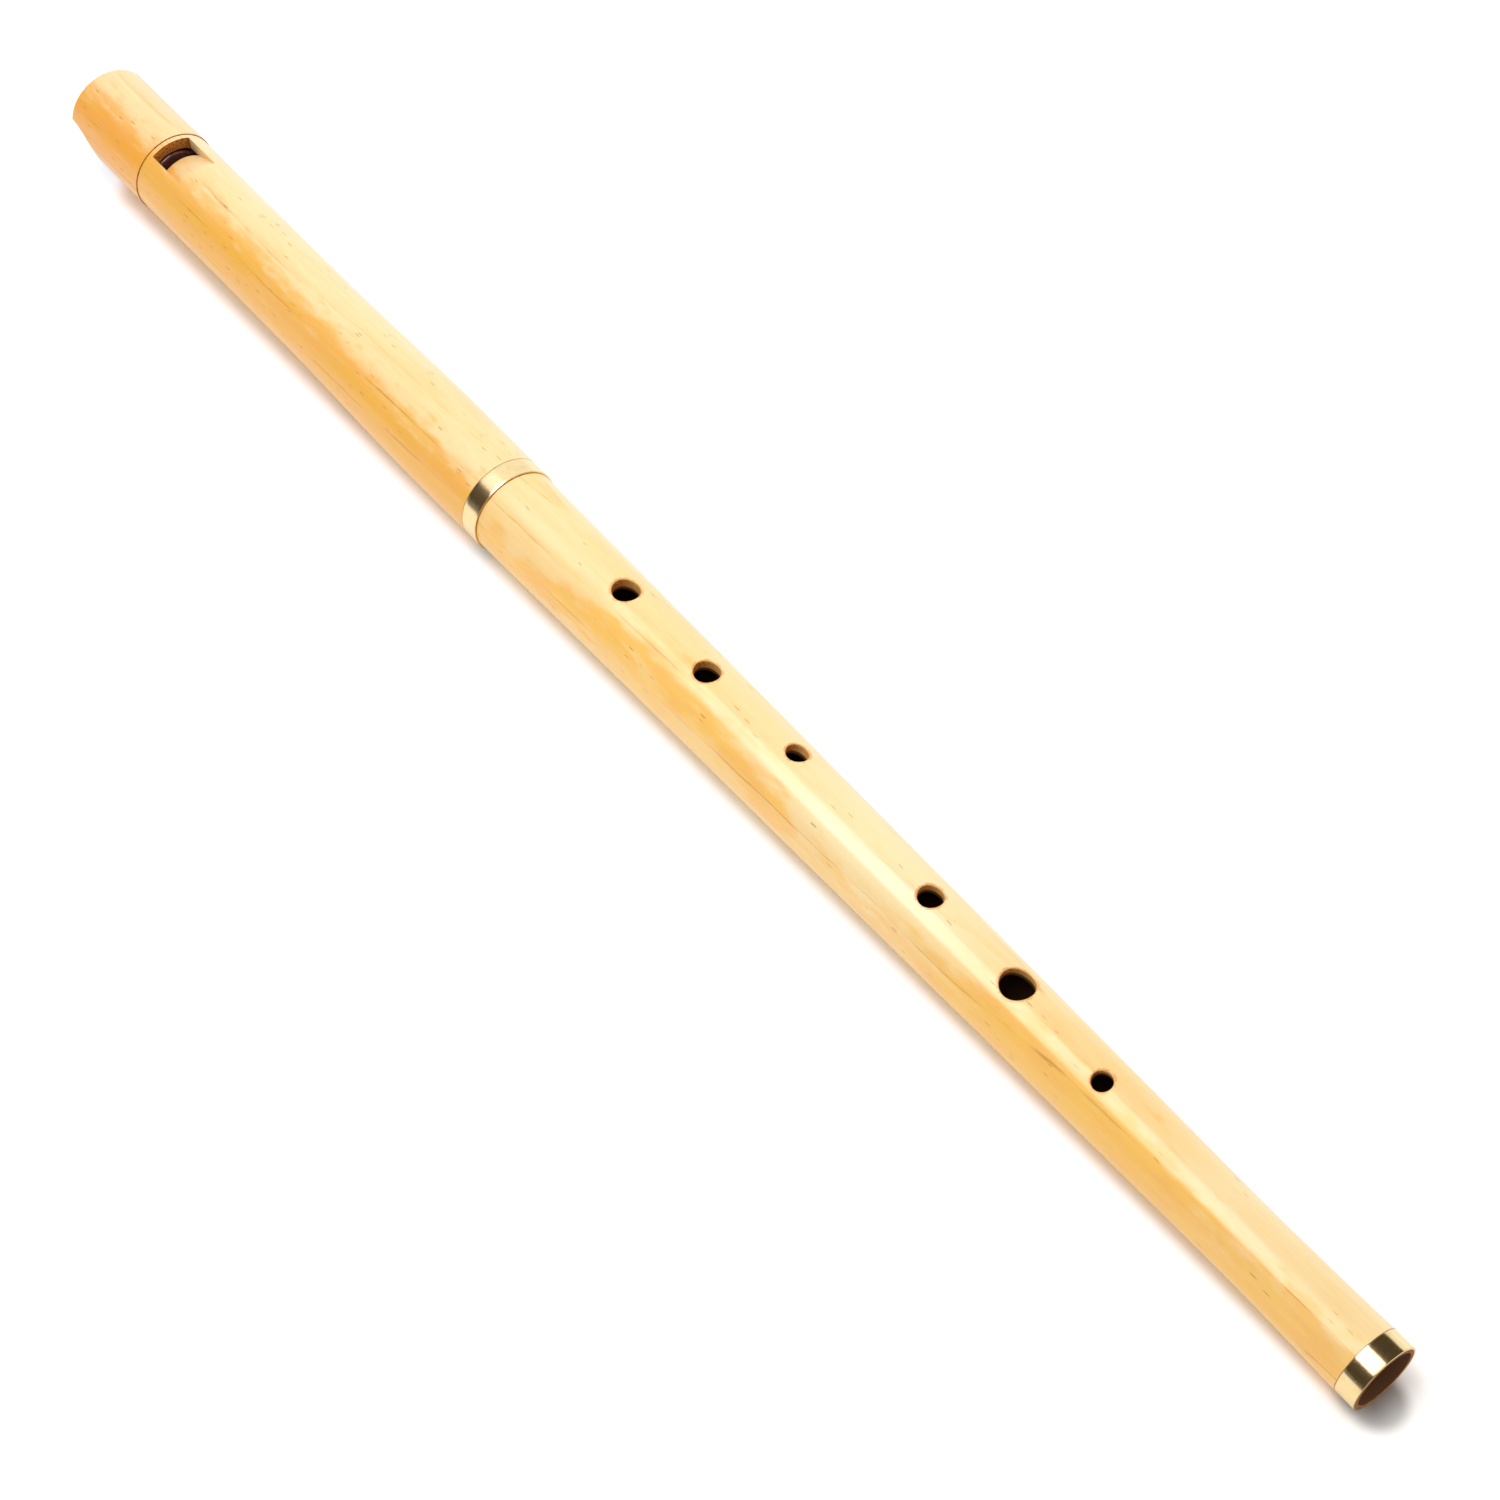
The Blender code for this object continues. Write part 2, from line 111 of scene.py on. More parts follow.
def turn_on_lathe(name, outline):
    """Draw a closed outline of (station, radius) points, point by point, and spin it round the axis."""
    station, radius = outline[0]
    bpy.ops.object.select_all(action="DESELECT")
    bpy.ops.mesh.primitive_circle_add(vertices=3, radius=0.001, location=(station, 0, radius))
    piece = bpy.context.object
    piece.name = name
    bpy.ops.object.mode_set(mode="EDIT")
    bpy.ops.mesh.select_all(action="SELECT")
    bpy.ops.mesh.merge(type="CENTER")
    for (station, radius), (next_station, next_radius) in zip(outline, [*outline[1:], outline[0]]):
        step = (next_station - station, 0, next_radius - radius)
        bpy.ops.mesh.extrude_region_move(TRANSFORM_OT_translate={"value": step})
    bpy.ops.mesh.select_all(action="SELECT")
    bpy.ops.mesh.remove_doubles(threshold=WELD)
    bpy.ops.mesh.spin(steps=SIDES, angle=2 * math.pi, center=(0, 0, 0), axis=(1, 0, 0))
    bpy.ops.mesh.select_all(action="SELECT")
    bpy.ops.mesh.remove_doubles(threshold=WELD)
    bpy.ops.mesh.normals_make_consistent(inside=False)
    bpy.ops.object.mode_set(mode="OBJECT")
    bpy.ops.object.transform_apply(location=True, rotation=True, scale=True)
    return piece


def make_active(piece):
    bpy.ops.object.select_all(action="DESELECT")
    piece.select_set(True)
    bpy.context.view_layer.objects.active = piece


def soften_edges(piece, width):
    """Break every sharp edge, as sandpaper does."""
    make_active(piece)
    edge = piece.modifiers.new("softened_edges", "BEVEL")
    edge.width = width
    edge.segments = 3
    edge.limit_method = "ANGLE"
    edge.angle_limit = SHARP_EDGE
    bpy.ops.object.modifier_apply(modifier=edge.name)


def cut_away(piece, cutter):
    """Take a cutter's shape out of a piece, and throw the cutter away."""
    make_active(piece)
    boolean = piece.modifiers.new("cut", "BOOLEAN")
    boolean.operation = "DIFFERENCE"
    boolean.solver = "EXACT"
    boolean.object = cutter
    bpy.ops.object.modifier_apply(modifier=boolean.name)
    bpy.data.objects.remove(cutter)


def lay_down(piece, turn=0.0):
    """Shade a finished piece smooth between its sharp edges, and lay it on the whistle's axis."""
    make_active(piece)
    bpy.ops.object.shade_smooth_by_angle(angle=SMOOTH_EDGE)
    piece.scale = (1, ROUND_SHARE, ROUND_SHARE)
    piece.rotation_euler = (turn, TILT, 0)
    piece.location = TIP_PLACE
    bpy.ops.object.transform_apply(location=True, rotation=True, scale=True)
    weighted = piece.modifiers.new("even_shading", "WEIGHTED_NORMAL")
    weighted.keep_sharp = True
    bpy.ops.object.modifier_apply(modifier=weighted.name)


def finish_cutter(cutter):
    bpy.ops.object.mode_set(mode="EDIT")
    bpy.ops.mesh.select_all(action="SELECT")
    bpy.ops.mesh.normals_make_consistent(inside=False)
    bpy.ops.object.mode_set(mode="OBJECT")
    bpy.ops.object.transform_apply(location=True, rotation=True, scale=True)


def make_hole_cutter(distance, diameter, turn):
    """A drill with a trumpet mouth that is bent over the curve of the tube."""
    surface = body_radius(distance)
    radius = diameter / 2
    bpy.ops.object.select_all(action="DESELECT")
    bpy.ops.mesh.primitive_circle_add(
        vertices=64, radius=radius, fill_type="NGON", location=(0, 0, 0), enter_editmode=True)
    cutter = bpy.context.object
    rings = [(radius, surface - HOLE_ROUNDING)]
    for step in range(1, ROUNDING_STEPS + 1):
        angle = ROUNDING_ARC * step / ROUNDING_STEPS
        spread = HOLE_ROUNDING * (1 - math.cos(angle))
        rings.append((radius + spread, surface - HOLE_ROUNDING * (1 - math.sin(angle))))
    run_out = HOLE_ROUNDING / 2
    rings.append((rings[-1][0] + run_out, rings[-1][1] + run_out / math.tan(ROUNDING_ARC)))
    last_bent = rings[-1][1] + 0.0001
    rings.append((rings[-1][0], CLEAR_OF_THE_WOOD))
    width, height = radius, 0.0
    for next_width, next_height in rings:
        rise = (0, 0, next_height - height)
        bpy.ops.mesh.extrude_region_move(TRANSFORM_OT_translate={"value": rise})
        spread = next_width / width
        bpy.ops.transform.resize(value=(spread, spread, 1), center_override=(0, 0, next_height))
        width, height = next_width, next_height
    bpy.ops.object.mode_set(mode="OBJECT")
    for vertex in cutter.data.vertices:
        if surface / 2 < vertex.co.z < last_bent:
            along, across, _ = vertex.co
            vertex.co.z += math.sqrt(body_radius(distance + along) ** 2 - across ** 2) - surface
    cutter.location = (SHOULDER + distance, 0, 0)
    cutter.rotation_euler = (math.radians(turn), 0, 0)
    finish_cutter(cutter)
    return cutter


taper_end = FOOT_END - FLARE_LENGTH
foot_ring_stop = FOOT_END - FOOT_RING_LENGTH - RING_SEAM
foot_ring_seat = FOOT_RING_RADIUS - FOOT_RING_WALL - RING_SEAM
body_outline = [
    (TENON_START, BODY_BORE_TOP),
    (TENON_START, TENON_RADIUS),
    (GROOVE_START, TENON_RADIUS),
    (GROOVE_START, GROOVE_RADIUS),
    (GROOVE_END, GROOVE_RADIUS),
    (GROOVE_END, TENON_RADIUS),
    (SHOULDER_FACE, TENON_RADIUS),
]
outside = run(SHOULDER_FACE, taper_end, 50) + run(taper_end, foot_ring_stop, 20)[1:]
body_outline += [(station, body_radius(station - SHOULDER)) for station in outside]
body_outline += [(foot_ring_stop, foot_ring_seat), (FOOT_END, foot_ring_seat)]
for station in run(FOOT_END, FOOT_END - BORE_FLARE_LENGTH, 16):
    share = (FOOT_END - station) / BORE_FLARE_LENGTH
    widening = (1 + math.cos(math.pi * share)) / 2
    body_outline.append((station, BODY_BORE_WAIST + (BODY_BORE_FOOT - BODY_BORE_WAIST) * widening))
for station in run(FOOT_END - BORE_FLARE_LENGTH, TENON_START, 24)[1:-1]:
    share = (station - TENON_START) / (FOOT_END - BORE_FLARE_LENGTH - TENON_START)
    body_outline.append((station, BODY_BORE_TOP + (BODY_BORE_WAIST - BODY_BORE_TOP) * share))
body_tube = turn_on_lathe("whistle_body", body_outline)
soften_edges(body_tube, SANDED_EDGE)
for distance, diameter, turn in zip(HOLE_DISTANCES, HOLE_DIAMETERS, HOLE_TURNS):
    cut_away(body_tube, make_hole_cutter(distance, diameter, turn))
lay_down(body_tube)


def add_node(tree, kind, inputs=(), **settings):
    """Add a node with its settings, and feed its inputs with values or with other nodes' outputs."""
    node = tree.nodes.new(kind)
    for setting, value in settings.items():
        setattr(node, setting, value)
    for socket, source in dict(inputs).items():
        if isinstance(source, bpy.types.NodeSocket):
            tree.links.new(source, node.inputs[socket])
        else:
            node.inputs[socket].default_value = source
    return node


def reckon(tree, operation, *values, clamp=False):
    """A Math node's result."""
    inputs = dict(enumerate(values))
    return add_node(tree, "ShaderNodeMath", inputs, operation=operation, use_clamp=clamp).outputs[0]


def reckon_vector(tree, operation, *values):
    """A Vector Math node's result, a vector."""
    return add_node(tree, "ShaderNodeVectorMath", dict(enumerate(values)), operation=operation).outputs[0]


def measure(tree, operation, *vectors):
    """A Vector Math node's result, a number: a length or a dot product."""
    inputs = dict(enumerate(vectors))
    return add_node(tree, "ShaderNodeVectorMath", inputs, operation=operation).outputs["Value"]


def scaled(tree, vector, factor):
    inputs = {0: vector, "Scale": factor}
    return add_node(tree, "ShaderNodeVectorMath", inputs, operation="SCALE").outputs[0]


def in_millimetres(tree, vector):
    return scaled(tree, vector, 1000.0)


def one_axis(tree, vector, axis):
    """A vector's number along X, Y or Z."""
    return add_node(tree, "ShaderNodeSeparateXYZ", {0: vector}).outputs[axis]


def fade(tree, value, low, high):
    """0 below low and 1 above high, with a smooth rise between them. High may be the lower one."""
    if low > high:
        return reckon(tree, "SUBTRACT", 1.0, fade(tree, value, high, low))
    node = add_node(tree, "ShaderNodeMapRange", {"Value": value, "From Min": low, "From Max": high},
                    interpolation_type="SMOOTHSTEP")
    return node.outputs["Result"]


def blend(tree, share, first, second):
    """Two colours mixed by a share."""
    return add_node(tree, "ShaderNodeMix", {0: share, 6: first, 7: second}, data_type="RGBA").outputs[2]


def noise(tree, vector, stretch, detail=2.0, roughness=0.5):
    """Noise whose grains are 1/stretch millimetres long in each direction. Returns the node."""
    stretched = reckon_vector(tree, "MULTIPLY", vector, stretch)
    return add_node(tree, "ShaderNodeTexNoise",
                    {"Vector": stretched, "Scale": 1.0, "Detail": detail, "Roughness": roughness})


def start_group(name, inputs, outputs):
    """A shader node group with its named sockets. Returns it, what it is given and what it gives."""
    group = bpy.data.node_groups.new(name, "ShaderNodeTree")
    for socket, kind in inputs:
        group.interface.new_socket(name=socket, in_out="INPUT", socket_type="NodeSocket" + kind)
    for socket, kind in outputs:
        group.interface.new_socket(name=socket, in_out="OUTPUT", socket_type="NodeSocket" + kind)
    given = group.nodes.new("NodeGroupInput").outputs
    gives = group.nodes.new("NodeGroupOutput").inputs
    return group, given, gives


DEEP_STATIONS = (310.0, 235.0)      # in millimetres, where the honey deepens towards the shoulder
PALE_BELLY_STATIONS = (430.0, 340.0)    # and where the wood below the honey turns pale again


def build_wood_figure():
    """Pale sapwood that turns to honey along a feathered border, with growth lines, fibres and flecks."""
    tree, given, gives = start_group(
        "pale_wood_figure",
        (("Vector", "Vector"), ("Pale", "Color"), ("Honey", "Color"), ("Rose", "Color"), ("Line", "Color"),
         ("Sap Side", "Vector"), ("Sap Depth", "Float"), ("Drift", "Float"), ("Seed", "Float"),
         ("Heart", "Vector"), ("Slant", "Vector"), ("Ring Width", "Float"), ("Figure", "Float"),
         ("Flecks", "Float"), ("Deep Start", "Float"), ("Belly", "Float")),
        (("Color", "Color"), ("Roughness", "Float"), ("Height", "Float")))
    millimetres = in_millimetres(tree, given["Vector"])
    station = one_axis(tree, millimetres, "X")

    # The border of the honey wood wanders and runs out in feathers and tongues.
    feather = noise(tree, millimetres, (0.085, 0.75, 0.75), 4.0, 0.6).outputs["Fac"]
    feather = reckon(tree, "SUBTRACT", feather, 0.5)
    tongues = noise(tree, millimetres, (0.10, 0.30, 0.30), 3.0, 0.5).outputs["Fac"]
    tongues = reckon(tree, "SUBTRACT", tongues, 0.5)
    slow = reckon(tree, "MULTIPLY_ADD", station, 0.012, given["Seed"])
    wander = add_node(
        tree, "ShaderNodeTexNoise", {"W": slow, "Scale": 1.0, "Detail": 1.0}, noise_dimensions="1D")
    wander = reckon(tree, "SUBTRACT", wander.outputs["Fac"], 0.5)
    wander = reckon(tree, "MULTIPLY", wander, given["Drift"])
    # Each piece's sap side faces up and to the far side, where the light falls, so the pale wood there is
    # partly the wood's own figure and partly painted light.
    sap = measure(tree, "DOT_PRODUCT", millimetres, given["Sap Side"])
    sap = reckon(tree, "ADD", sap, reckon(tree, "ADD", given["Sap Depth"], wander))
    ragged = reckon(tree, "MULTIPLY_ADD", feather, 0.6, sap)
    ragged = reckon(tree, "MULTIPLY_ADD", tongues, 1.5, ragged)
    border = fade(tree, ragged, 0.26, -0.26)
    depth = fade(tree, sap, 1.0, -0.5)

    # Growth rings about the heart of the tree show as long, swaying lines with a dark late edge.
    sway = noise(tree, millimetres, (0.010, 0.06, 0.06), 4.0).outputs["Color"]
    sway = reckon_vector(tree, "SUBTRACT", sway, (0.5, 0.5, 0.5))
    swayed = reckon_vector(tree, "MULTIPLY_ADD", sway, (0, 8, 8), millimetres)
    leaning = add_node(tree, "ShaderNodeMapping", {
        "Vector": swayed, "Location": given["Heart"], "Rotation": given["Slant"]}).outputs[0]
    from_heart = measure(tree, "LENGTH", reckon_vector(tree, "MULTIPLY", leaning, (0, 1, 1)))
    years = reckon(tree, "DIVIDE", from_heart, given["Ring Width"])
    years = reckon(tree, "MULTIPLY_ADD", feather, 0.10, years)
    season = reckon(tree, "FRACT", years)
    ring_edge = fade(tree, season, 1.0, 0.975)
    late_wood = reckon(tree, "MULTIPLY", reckon(tree, "POWER", season, 3.0), ring_edge)
    line = reckon(tree, "MULTIPLY", fade(tree, season, 0.925, 0.975), ring_edge)
    broken = noise(tree, millimetres, (0.03, 0.3, 0.3), 2.0).outputs["Fac"]
    line = reckon(tree, "MULTIPLY", line, fade(tree, broken, 0.45, 0.60))

    # Warmth, from pale to honey.
    patch = noise(tree, millimetres, (0.018, 0.11, 0.11), 3.0).outputs["Fac"]
    patch = reckon(tree, "SUBTRACT", patch, 0.5)
    warmth = reckon(tree, "MULTIPLY_ADD", depth, 0.30, 0.14)
    warmth = reckon(tree, "MULTIPLY_ADD", border, 0.50, warmth)
    warmth = reckon(tree, "MULTIPLY_ADD", wander, -0.5, warmth)
    warmth = reckon(tree, "MULTIPLY_ADD", fade(tree, station, *DEEP_STATIONS), given["Deep Start"], warmth)
    belly = fade(tree, station, *PALE_BELLY_STATIONS)
    belly = reckon(tree, "MULTIPLY", fade(tree, ragged, -0.25, -0.70), belly)
    warmth = reckon(tree, "MULTIPLY_ADD", belly, given["Belly"], warmth)
    warmth = reckon(tree, "MULTIPLY_ADD", late_wood, given["Figure"], warmth)
    warmth = reckon(tree, "MULTIPLY_ADD", patch, 0.55, warmth)
    warmth = reckon(tree, "MULTIPLY_ADD", feather, 0.35, warmth, clamp=True)

    # Short dark flecks, where pores are cut open, come in loose crowds.
    cells = reckon_vector(tree, "MULTIPLY", swayed, (0.19, 1.35, 1.6))
    fleck_cell = add_node(tree, "ShaderNodeTexVoronoi", {"Vector": cells, "Scale": 1.0, "Randomness": 1.0})
    lot = add_node(tree, "ShaderNodeSeparateColor", {"Color": fleck_cell.outputs["Color"]}).outputs[0]
    crowd = noise(tree, millimetres, (0.022, 0.16, 0.16), 1.0).outputs["Fac"]
    chance = reckon(tree, "MULTIPLY", given["Flecks"], fade(tree, crowd, 0.34, 0.60))
    chosen = reckon(tree, "LESS_THAN", lot, chance)
    fleck = reckon(tree, "MULTIPLY", fade(tree, fleck_cell.outputs["Distance"], 0.32, 0.16), chosen)

    # Colour, roughness and relief.
    fibre = noise(tree, millimetres, (0.07, 3.0, 3.0), 3.0, 0.65).outputs["Fac"]
    fibre = reckon(tree, "SUBTRACT", fibre, 0.5)
    colour = blend(tree, warmth, given["Pale"], given["Honey"])
    rosy = noise(tree, millimetres, (0.055, 0.22, 0.22), 3.0, 0.6).outputs["Fac"]
    rosy = reckon(tree, "MULTIPLY", fade(tree, rosy, 0.44, 0.62), reckon(tree, "MULTIPLY", warmth, 0.28))
    colour = blend(tree, rosy, colour, given["Rose"])
    line_share = reckon(tree, "MULTIPLY", line, reckon(tree, "MULTIPLY_ADD", warmth, 0.58, 0.07))
    colour = blend(tree, line_share, colour, given["Line"])
    colour = blend(tree, reckon(tree, "MULTIPLY", fleck, 0.62), colour, given["Line"])
    shade = reckon(tree, "MULTIPLY_ADD", fibre, 0.13, 1.0)
    tree.links.new(scaled(tree, colour, shade), gives["Color"])

    rough = reckon(tree, "MULTIPLY_ADD", fibre, 0.12, 0.36)
    rough = reckon(tree, "MULTIPLY_ADD", fleck, 0.20, rough)
    tree.links.new(rough, gives["Roughness"])
    height = reckon(tree, "MULTIPLY_ADD", fleck, -0.8, reckon(tree, "MULTIPLY", fibre, 0.7))
    height = reckon(tree, "MULTIPLY_ADD", line, -0.35, height)
    tree.links.new(height, gives["Height"])
    return tree


def build_cut_faces():
    """Masks for faces that cut across the tube, for the start of their rounding, and for the bore."""
    tree, given, gives = start_group(
        "cut_faces",
        (("Vector", "Vector"), ("Normal", "Vector")),
        (("Wall", "Float"), ("Rim", "Float"), ("Bore", "Float")))
    outward = reckon_vector(tree, "NORMALIZE", reckon_vector(tree, "MULTIPLY", given["Vector"], (0, 1, 1)))
    facing = measure(tree, "DOT_PRODUCT", outward, given["Normal"])
    tree.links.new(fade(tree, facing, 0.68, 0.50), gives["Wall"])
    rim = reckon(tree, "MULTIPLY", fade(tree, facing, 0.98, 0.90), fade(tree, facing, 0.58, 0.74))
    tree.links.new(rim, gives["Rim"])
    tree.links.new(fade(tree, facing, -0.74, -0.92), gives["Bore"])
    return tree


def build_joint_wear():
    """A mask for the last fraction of a millimetre before two ends, uneven, where hands leave grime."""
    tree, given, gives = start_group(
        "joint_wear",
        (("Vector", "Vector"), ("First End", "Float"), ("Second End", "Float"), ("Reach", "Float")),
        (("Mask", "Float"),))
    station = one_axis(tree, given["Vector"], "X")
    near = []
    for end in ("First End", "Second End"):
        near.append(reckon(tree, "ABSOLUTE", reckon(tree, "SUBTRACT", station, given[end])))
    share = reckon(tree, "DIVIDE", reckon(tree, "MINIMUM", *near), given["Reach"])
    millimetres = in_millimetres(tree, given["Vector"])
    uneven = noise(tree, millimetres, (0.5, 0.5, 0.5), 3.0, 0.6).outputs["Fac"]
    share = reckon(tree, "MULTIPLY_ADD", reckon(tree, "SUBTRACT", uneven, 0.5), 1.2, share)
    tree.links.new(fade(tree, share, 1.0, 0.0), gives["Mask"])
    return tree


HOLE_SHADE_RISE = (0.0012, 0.0007)       # above the bore, from where the painted shade ends down to where it is full


def build_finger_wear():
    """Masks for the thin, broken line that fingertips leave round each finger hole, and for the
    painted shade that darkens its wall towards the bore."""
    tree, given, gives = start_group(
        "finger_wear_and_hole_shade", (("Vector", "Vector"),), (("Mask", "Float"), ("Deep Shade", "Float")))
    clear = 1.0                        # metres from the edge of the nearest hole
    for distance, diameter, turn in zip(HOLE_DISTANCES, HOLE_DIAMETERS, HOLE_TURNS):
        over_hole = add_node(tree, "ShaderNodeMapping", {
            "Vector": given["Vector"], "Location": (-SHOULDER - distance, 0, 0),
            "Rotation": (-math.radians(turn), 0, 0)}).outputs[0]
        off_axis = measure(tree, "LENGTH", reckon_vector(tree, "MINIMUM", over_hole, (1, 1, 0)))
        clear = reckon(tree, "MINIMUM", clear, reckon(tree, "SUBTRACT", off_axis, diameter / 2))
    millimetres = in_millimetres(tree, given["Vector"])
    uneven = noise(tree, millimetres, (0.6, 0.6, 0.6), 3.0, 0.6).outputs["Fac"]
    clear = reckon(tree, "MULTIPLY_ADD", reckon(tree, "SUBTRACT", uneven, 0.5), 0.0004, clear)
    line = reckon(tree, "MULTIPLY", fade(tree, clear, 0.0009, 0.0006), fade(tree, clear, 0.0002, 0.0004))
    tree.links.new(reckon(tree, "MULTIPLY", line, fade(tree, uneven, 0.62, 0.42)), gives["Mask"])
    station = one_axis(tree, given["Vector"], "X")
    bore_taper = (BODY_BORE_WAIST - BODY_BORE_TOP) / (FOOT_END - BORE_FLARE_LENGTH - TENON_START)
    bore = reckon(tree, "MULTIPLY_ADD", station, bore_taper, BODY_BORE_TOP - bore_taper * TENON_START)
    from_axis = measure(tree, "LENGTH", reckon_vector(tree, "MULTIPLY", given["Vector"], (0, 1, 1)))
    # Painted shade: each hole's wall darkens towards the bore over its lowest millimetre or so.
    deep_in_hole = fade(tree, reckon(tree, "SUBTRACT", from_axis, bore), *HOLE_SHADE_RISE)
    tree.links.new(reckon(tree, "MULTIPLY", deep_in_hole, fade(tree, clear, 0.0008, 0.0004)), gives["Deep Shade"])
    return tree


def axis_coordinates(tree):
    """Object coordinates turned to the whistle's axis, with the tip of the mouthpiece at 0."""
    place = add_node(tree, "ShaderNodeTexCoord")
    inputs = {"Vector": place.outputs["Object"], "Location": TIP_PLACE, "Rotation": (0, TILT, 0)}
    mapping = add_node(tree, "ShaderNodeMapping", inputs, vector_type="TEXTURE")
    return mapping.outputs[0], place.outputs["Normal"]


def use_group(tree, group, inputs):
    return add_node(tree, "ShaderNodeGroup", inputs, node_tree=group).outputs


def start_material(name, **sockets):
    """A material with its Principled shader's plain values set on the shader itself."""
    material = bpy.data.materials.new(name)
    material.use_nodes = True
    tree = material.node_tree
    shader = tree.nodes["Principled BSDF"]
    for socket, value in sockets.items():
        shader.inputs[socket.replace("_", " ")].default_value = value
    return material, tree, shader


def dress(piece, material):
    piece.data.materials.clear()
    piece.data.materials.append(material)


LACQUER = {"IOR": 1.5, "Specular_IOR_Level": 0.1, "Coat_Roughness": 0.18, "Coat_IOR": 1.5}
CUT_WOOD = (0.56, 0.20, 0.030, 1)
DARK_CUT_WOOD = (0.24, 0.068, 0.008, 1)
BURNISHED_RIM = (0.74, 0.30, 0.07, 1)
OILED_BORE = (0.085, 0.038, 0.017, 1)
BORE_AT_OPEN_END = (0.17, 0.075, 0.032, 1)
GRIME = (0.10, 0.050, 0.015, 1)
GRAIN_LINE = (0.46, 0.20, 0.045, 1)
ROSY_HEART = (0.93, 0.43, 0.15, 1)
PALE_CUT = (0.90, 0.50, 0.15, 1)
PALE_CUT_SIDE = (-0.6, -0.8, 0)   # the way that cut faces look where they are painted as lit
GRIME_REACH = 0.00017
GRIME_SHARE = 0.75
FINGER_LINE_SHARE = 0.70
RIM_SHARE = 0.75
HOLE_SHADE_SHARE = 0.92
FOOT_FACE = (FOOT_END - 0.0006, FOOT_END - 0.0001)
FOOT_FACE_SHARE = 0.6
BORE_AT_OPEN_END_LENGTH = 0.0200
COAT = 0.65
PORE_DEPTH = 0.00003

pale_wood_figure = build_wood_figure()
cut_faces = build_cut_faces()
joint_wear = build_joint_wear()
finger_wear_and_hole_shade = build_finger_wear()


def make_pale_wood(name, ends, lit_and_side_grain_cut, **figure):
    """Lacquered pale wood, tan where it is cut across, and dark in the oiled bore. Cut faces are
    painted lighter where they face one way, as if lit from there, and side grain is lighter too.
    """
    material, tree, shader = start_material(name, **LACQUER)
    along, normal = axis_coordinates(tree)
    figure = {socket.replace("_", " "): value for socket, value in figure.items()}
    wood = use_group(tree, pale_wood_figure, {
        "Vector": along, "Rose": ROSY_HEART, "Line": GRAIN_LINE, **figure})
    cut = use_group(tree, cut_faces, {"Vector": along, "Normal": normal})
    worn = use_group(tree, joint_wear, {
        "Vector": along, "First End": ends[0], "Second End": ends[1], "Reach": GRIME_REACH})
    colour = blend(tree, reckon(tree, "MULTIPLY", worn["Mask"], GRIME_SHARE), wood["Color"], GRIME)
    handled = use_group(tree, finger_wear_and_hole_shade, {"Vector": along})
    finger_line = reckon(tree, "MULTIPLY", handled["Mask"], FINGER_LINE_SHARE)
    colour = blend(tree, finger_line, colour, BURNISHED_RIM)
    colour = blend(tree, reckon(tree, "MULTIPLY", cut["Rim"], RIM_SHARE), colour, BURNISHED_RIM)
    millimetres = in_millimetres(tree, along)
    end_grain = noise(tree, millimetres, (0.5, 1.6, 1.6), 3.0, 0.65).outputs["Fac"]
    end_grain = blend(tree, fade(tree, end_grain, 0.40, 0.62), CUT_WOOD, DARK_CUT_WOOD)
    # Painted light: cut faces turn lighter the more they face one way, as if lit from that side; side
    # grain is lighter too.
    lit_and_side_grain = fade(tree, measure(tree, "DOT_PRODUCT", normal, PALE_CUT_SIDE), -0.7, 1.0)
    side_grain = reckon(tree, "ABSOLUTE", one_axis(tree, normal, "Y"))
    lit_and_side_grain = reckon(tree, "MAXIMUM", lit_and_side_grain, fade(tree, side_grain, 0.80, 0.97))
    cut_colour = blend(tree, lit_and_side_grain, end_grain, lit_and_side_grain_cut)
    colour = blend(tree, cut["Wall"], colour, cut_colour)
    # Painted shade deep in the finger holes, in the bore's colour.
    colour = blend(tree, reckon(tree, "MULTIPLY", handled["Deep Shade"], HOLE_SHADE_SHARE), colour, OILED_BORE)
    station = one_axis(tree, along, "X")
    # The foot's thin end face is toned towards the lighter bore colour of the open end.
    foot_face = reckon(tree, "MULTIPLY", fade(tree, station, *FOOT_FACE), FOOT_FACE_SHARE)
    colour = blend(tree, foot_face, colour, BORE_AT_OPEN_END)
    # Painted light: the bore is lighter over its last 20 millimetres before the open foot end, where light
    # reaches in.
    lit_bore_near_end = fade(tree, station, FOOT_END - BORE_AT_OPEN_END_LENGTH, FOOT_END)
    colour = blend(tree, cut["Bore"], colour, blend(tree, lit_bore_near_end, OILED_BORE, BORE_AT_OPEN_END))
    tree.links.new(colour, shader.inputs["Base Color"])
    bare = reckon(tree, "MAXIMUM", cut["Wall"], cut["Bore"])
    tree.links.new(reckon(tree, "MULTIPLY_ADD", bare, 0.25, wood["Roughness"]), shader.inputs["Roughness"])
    tree.links.new(reckon(tree, "MULTIPLY_ADD", bare, -COAT, COAT), shader.inputs["Coat Weight"])
    bump = add_node(tree, "ShaderNodeBump", {
        "Height": wood["Height"], "Strength": 0.5, "Distance": PORE_DEPTH})
    tree.links.new(bump.outputs[0], shader.inputs["Normal"])
    return material


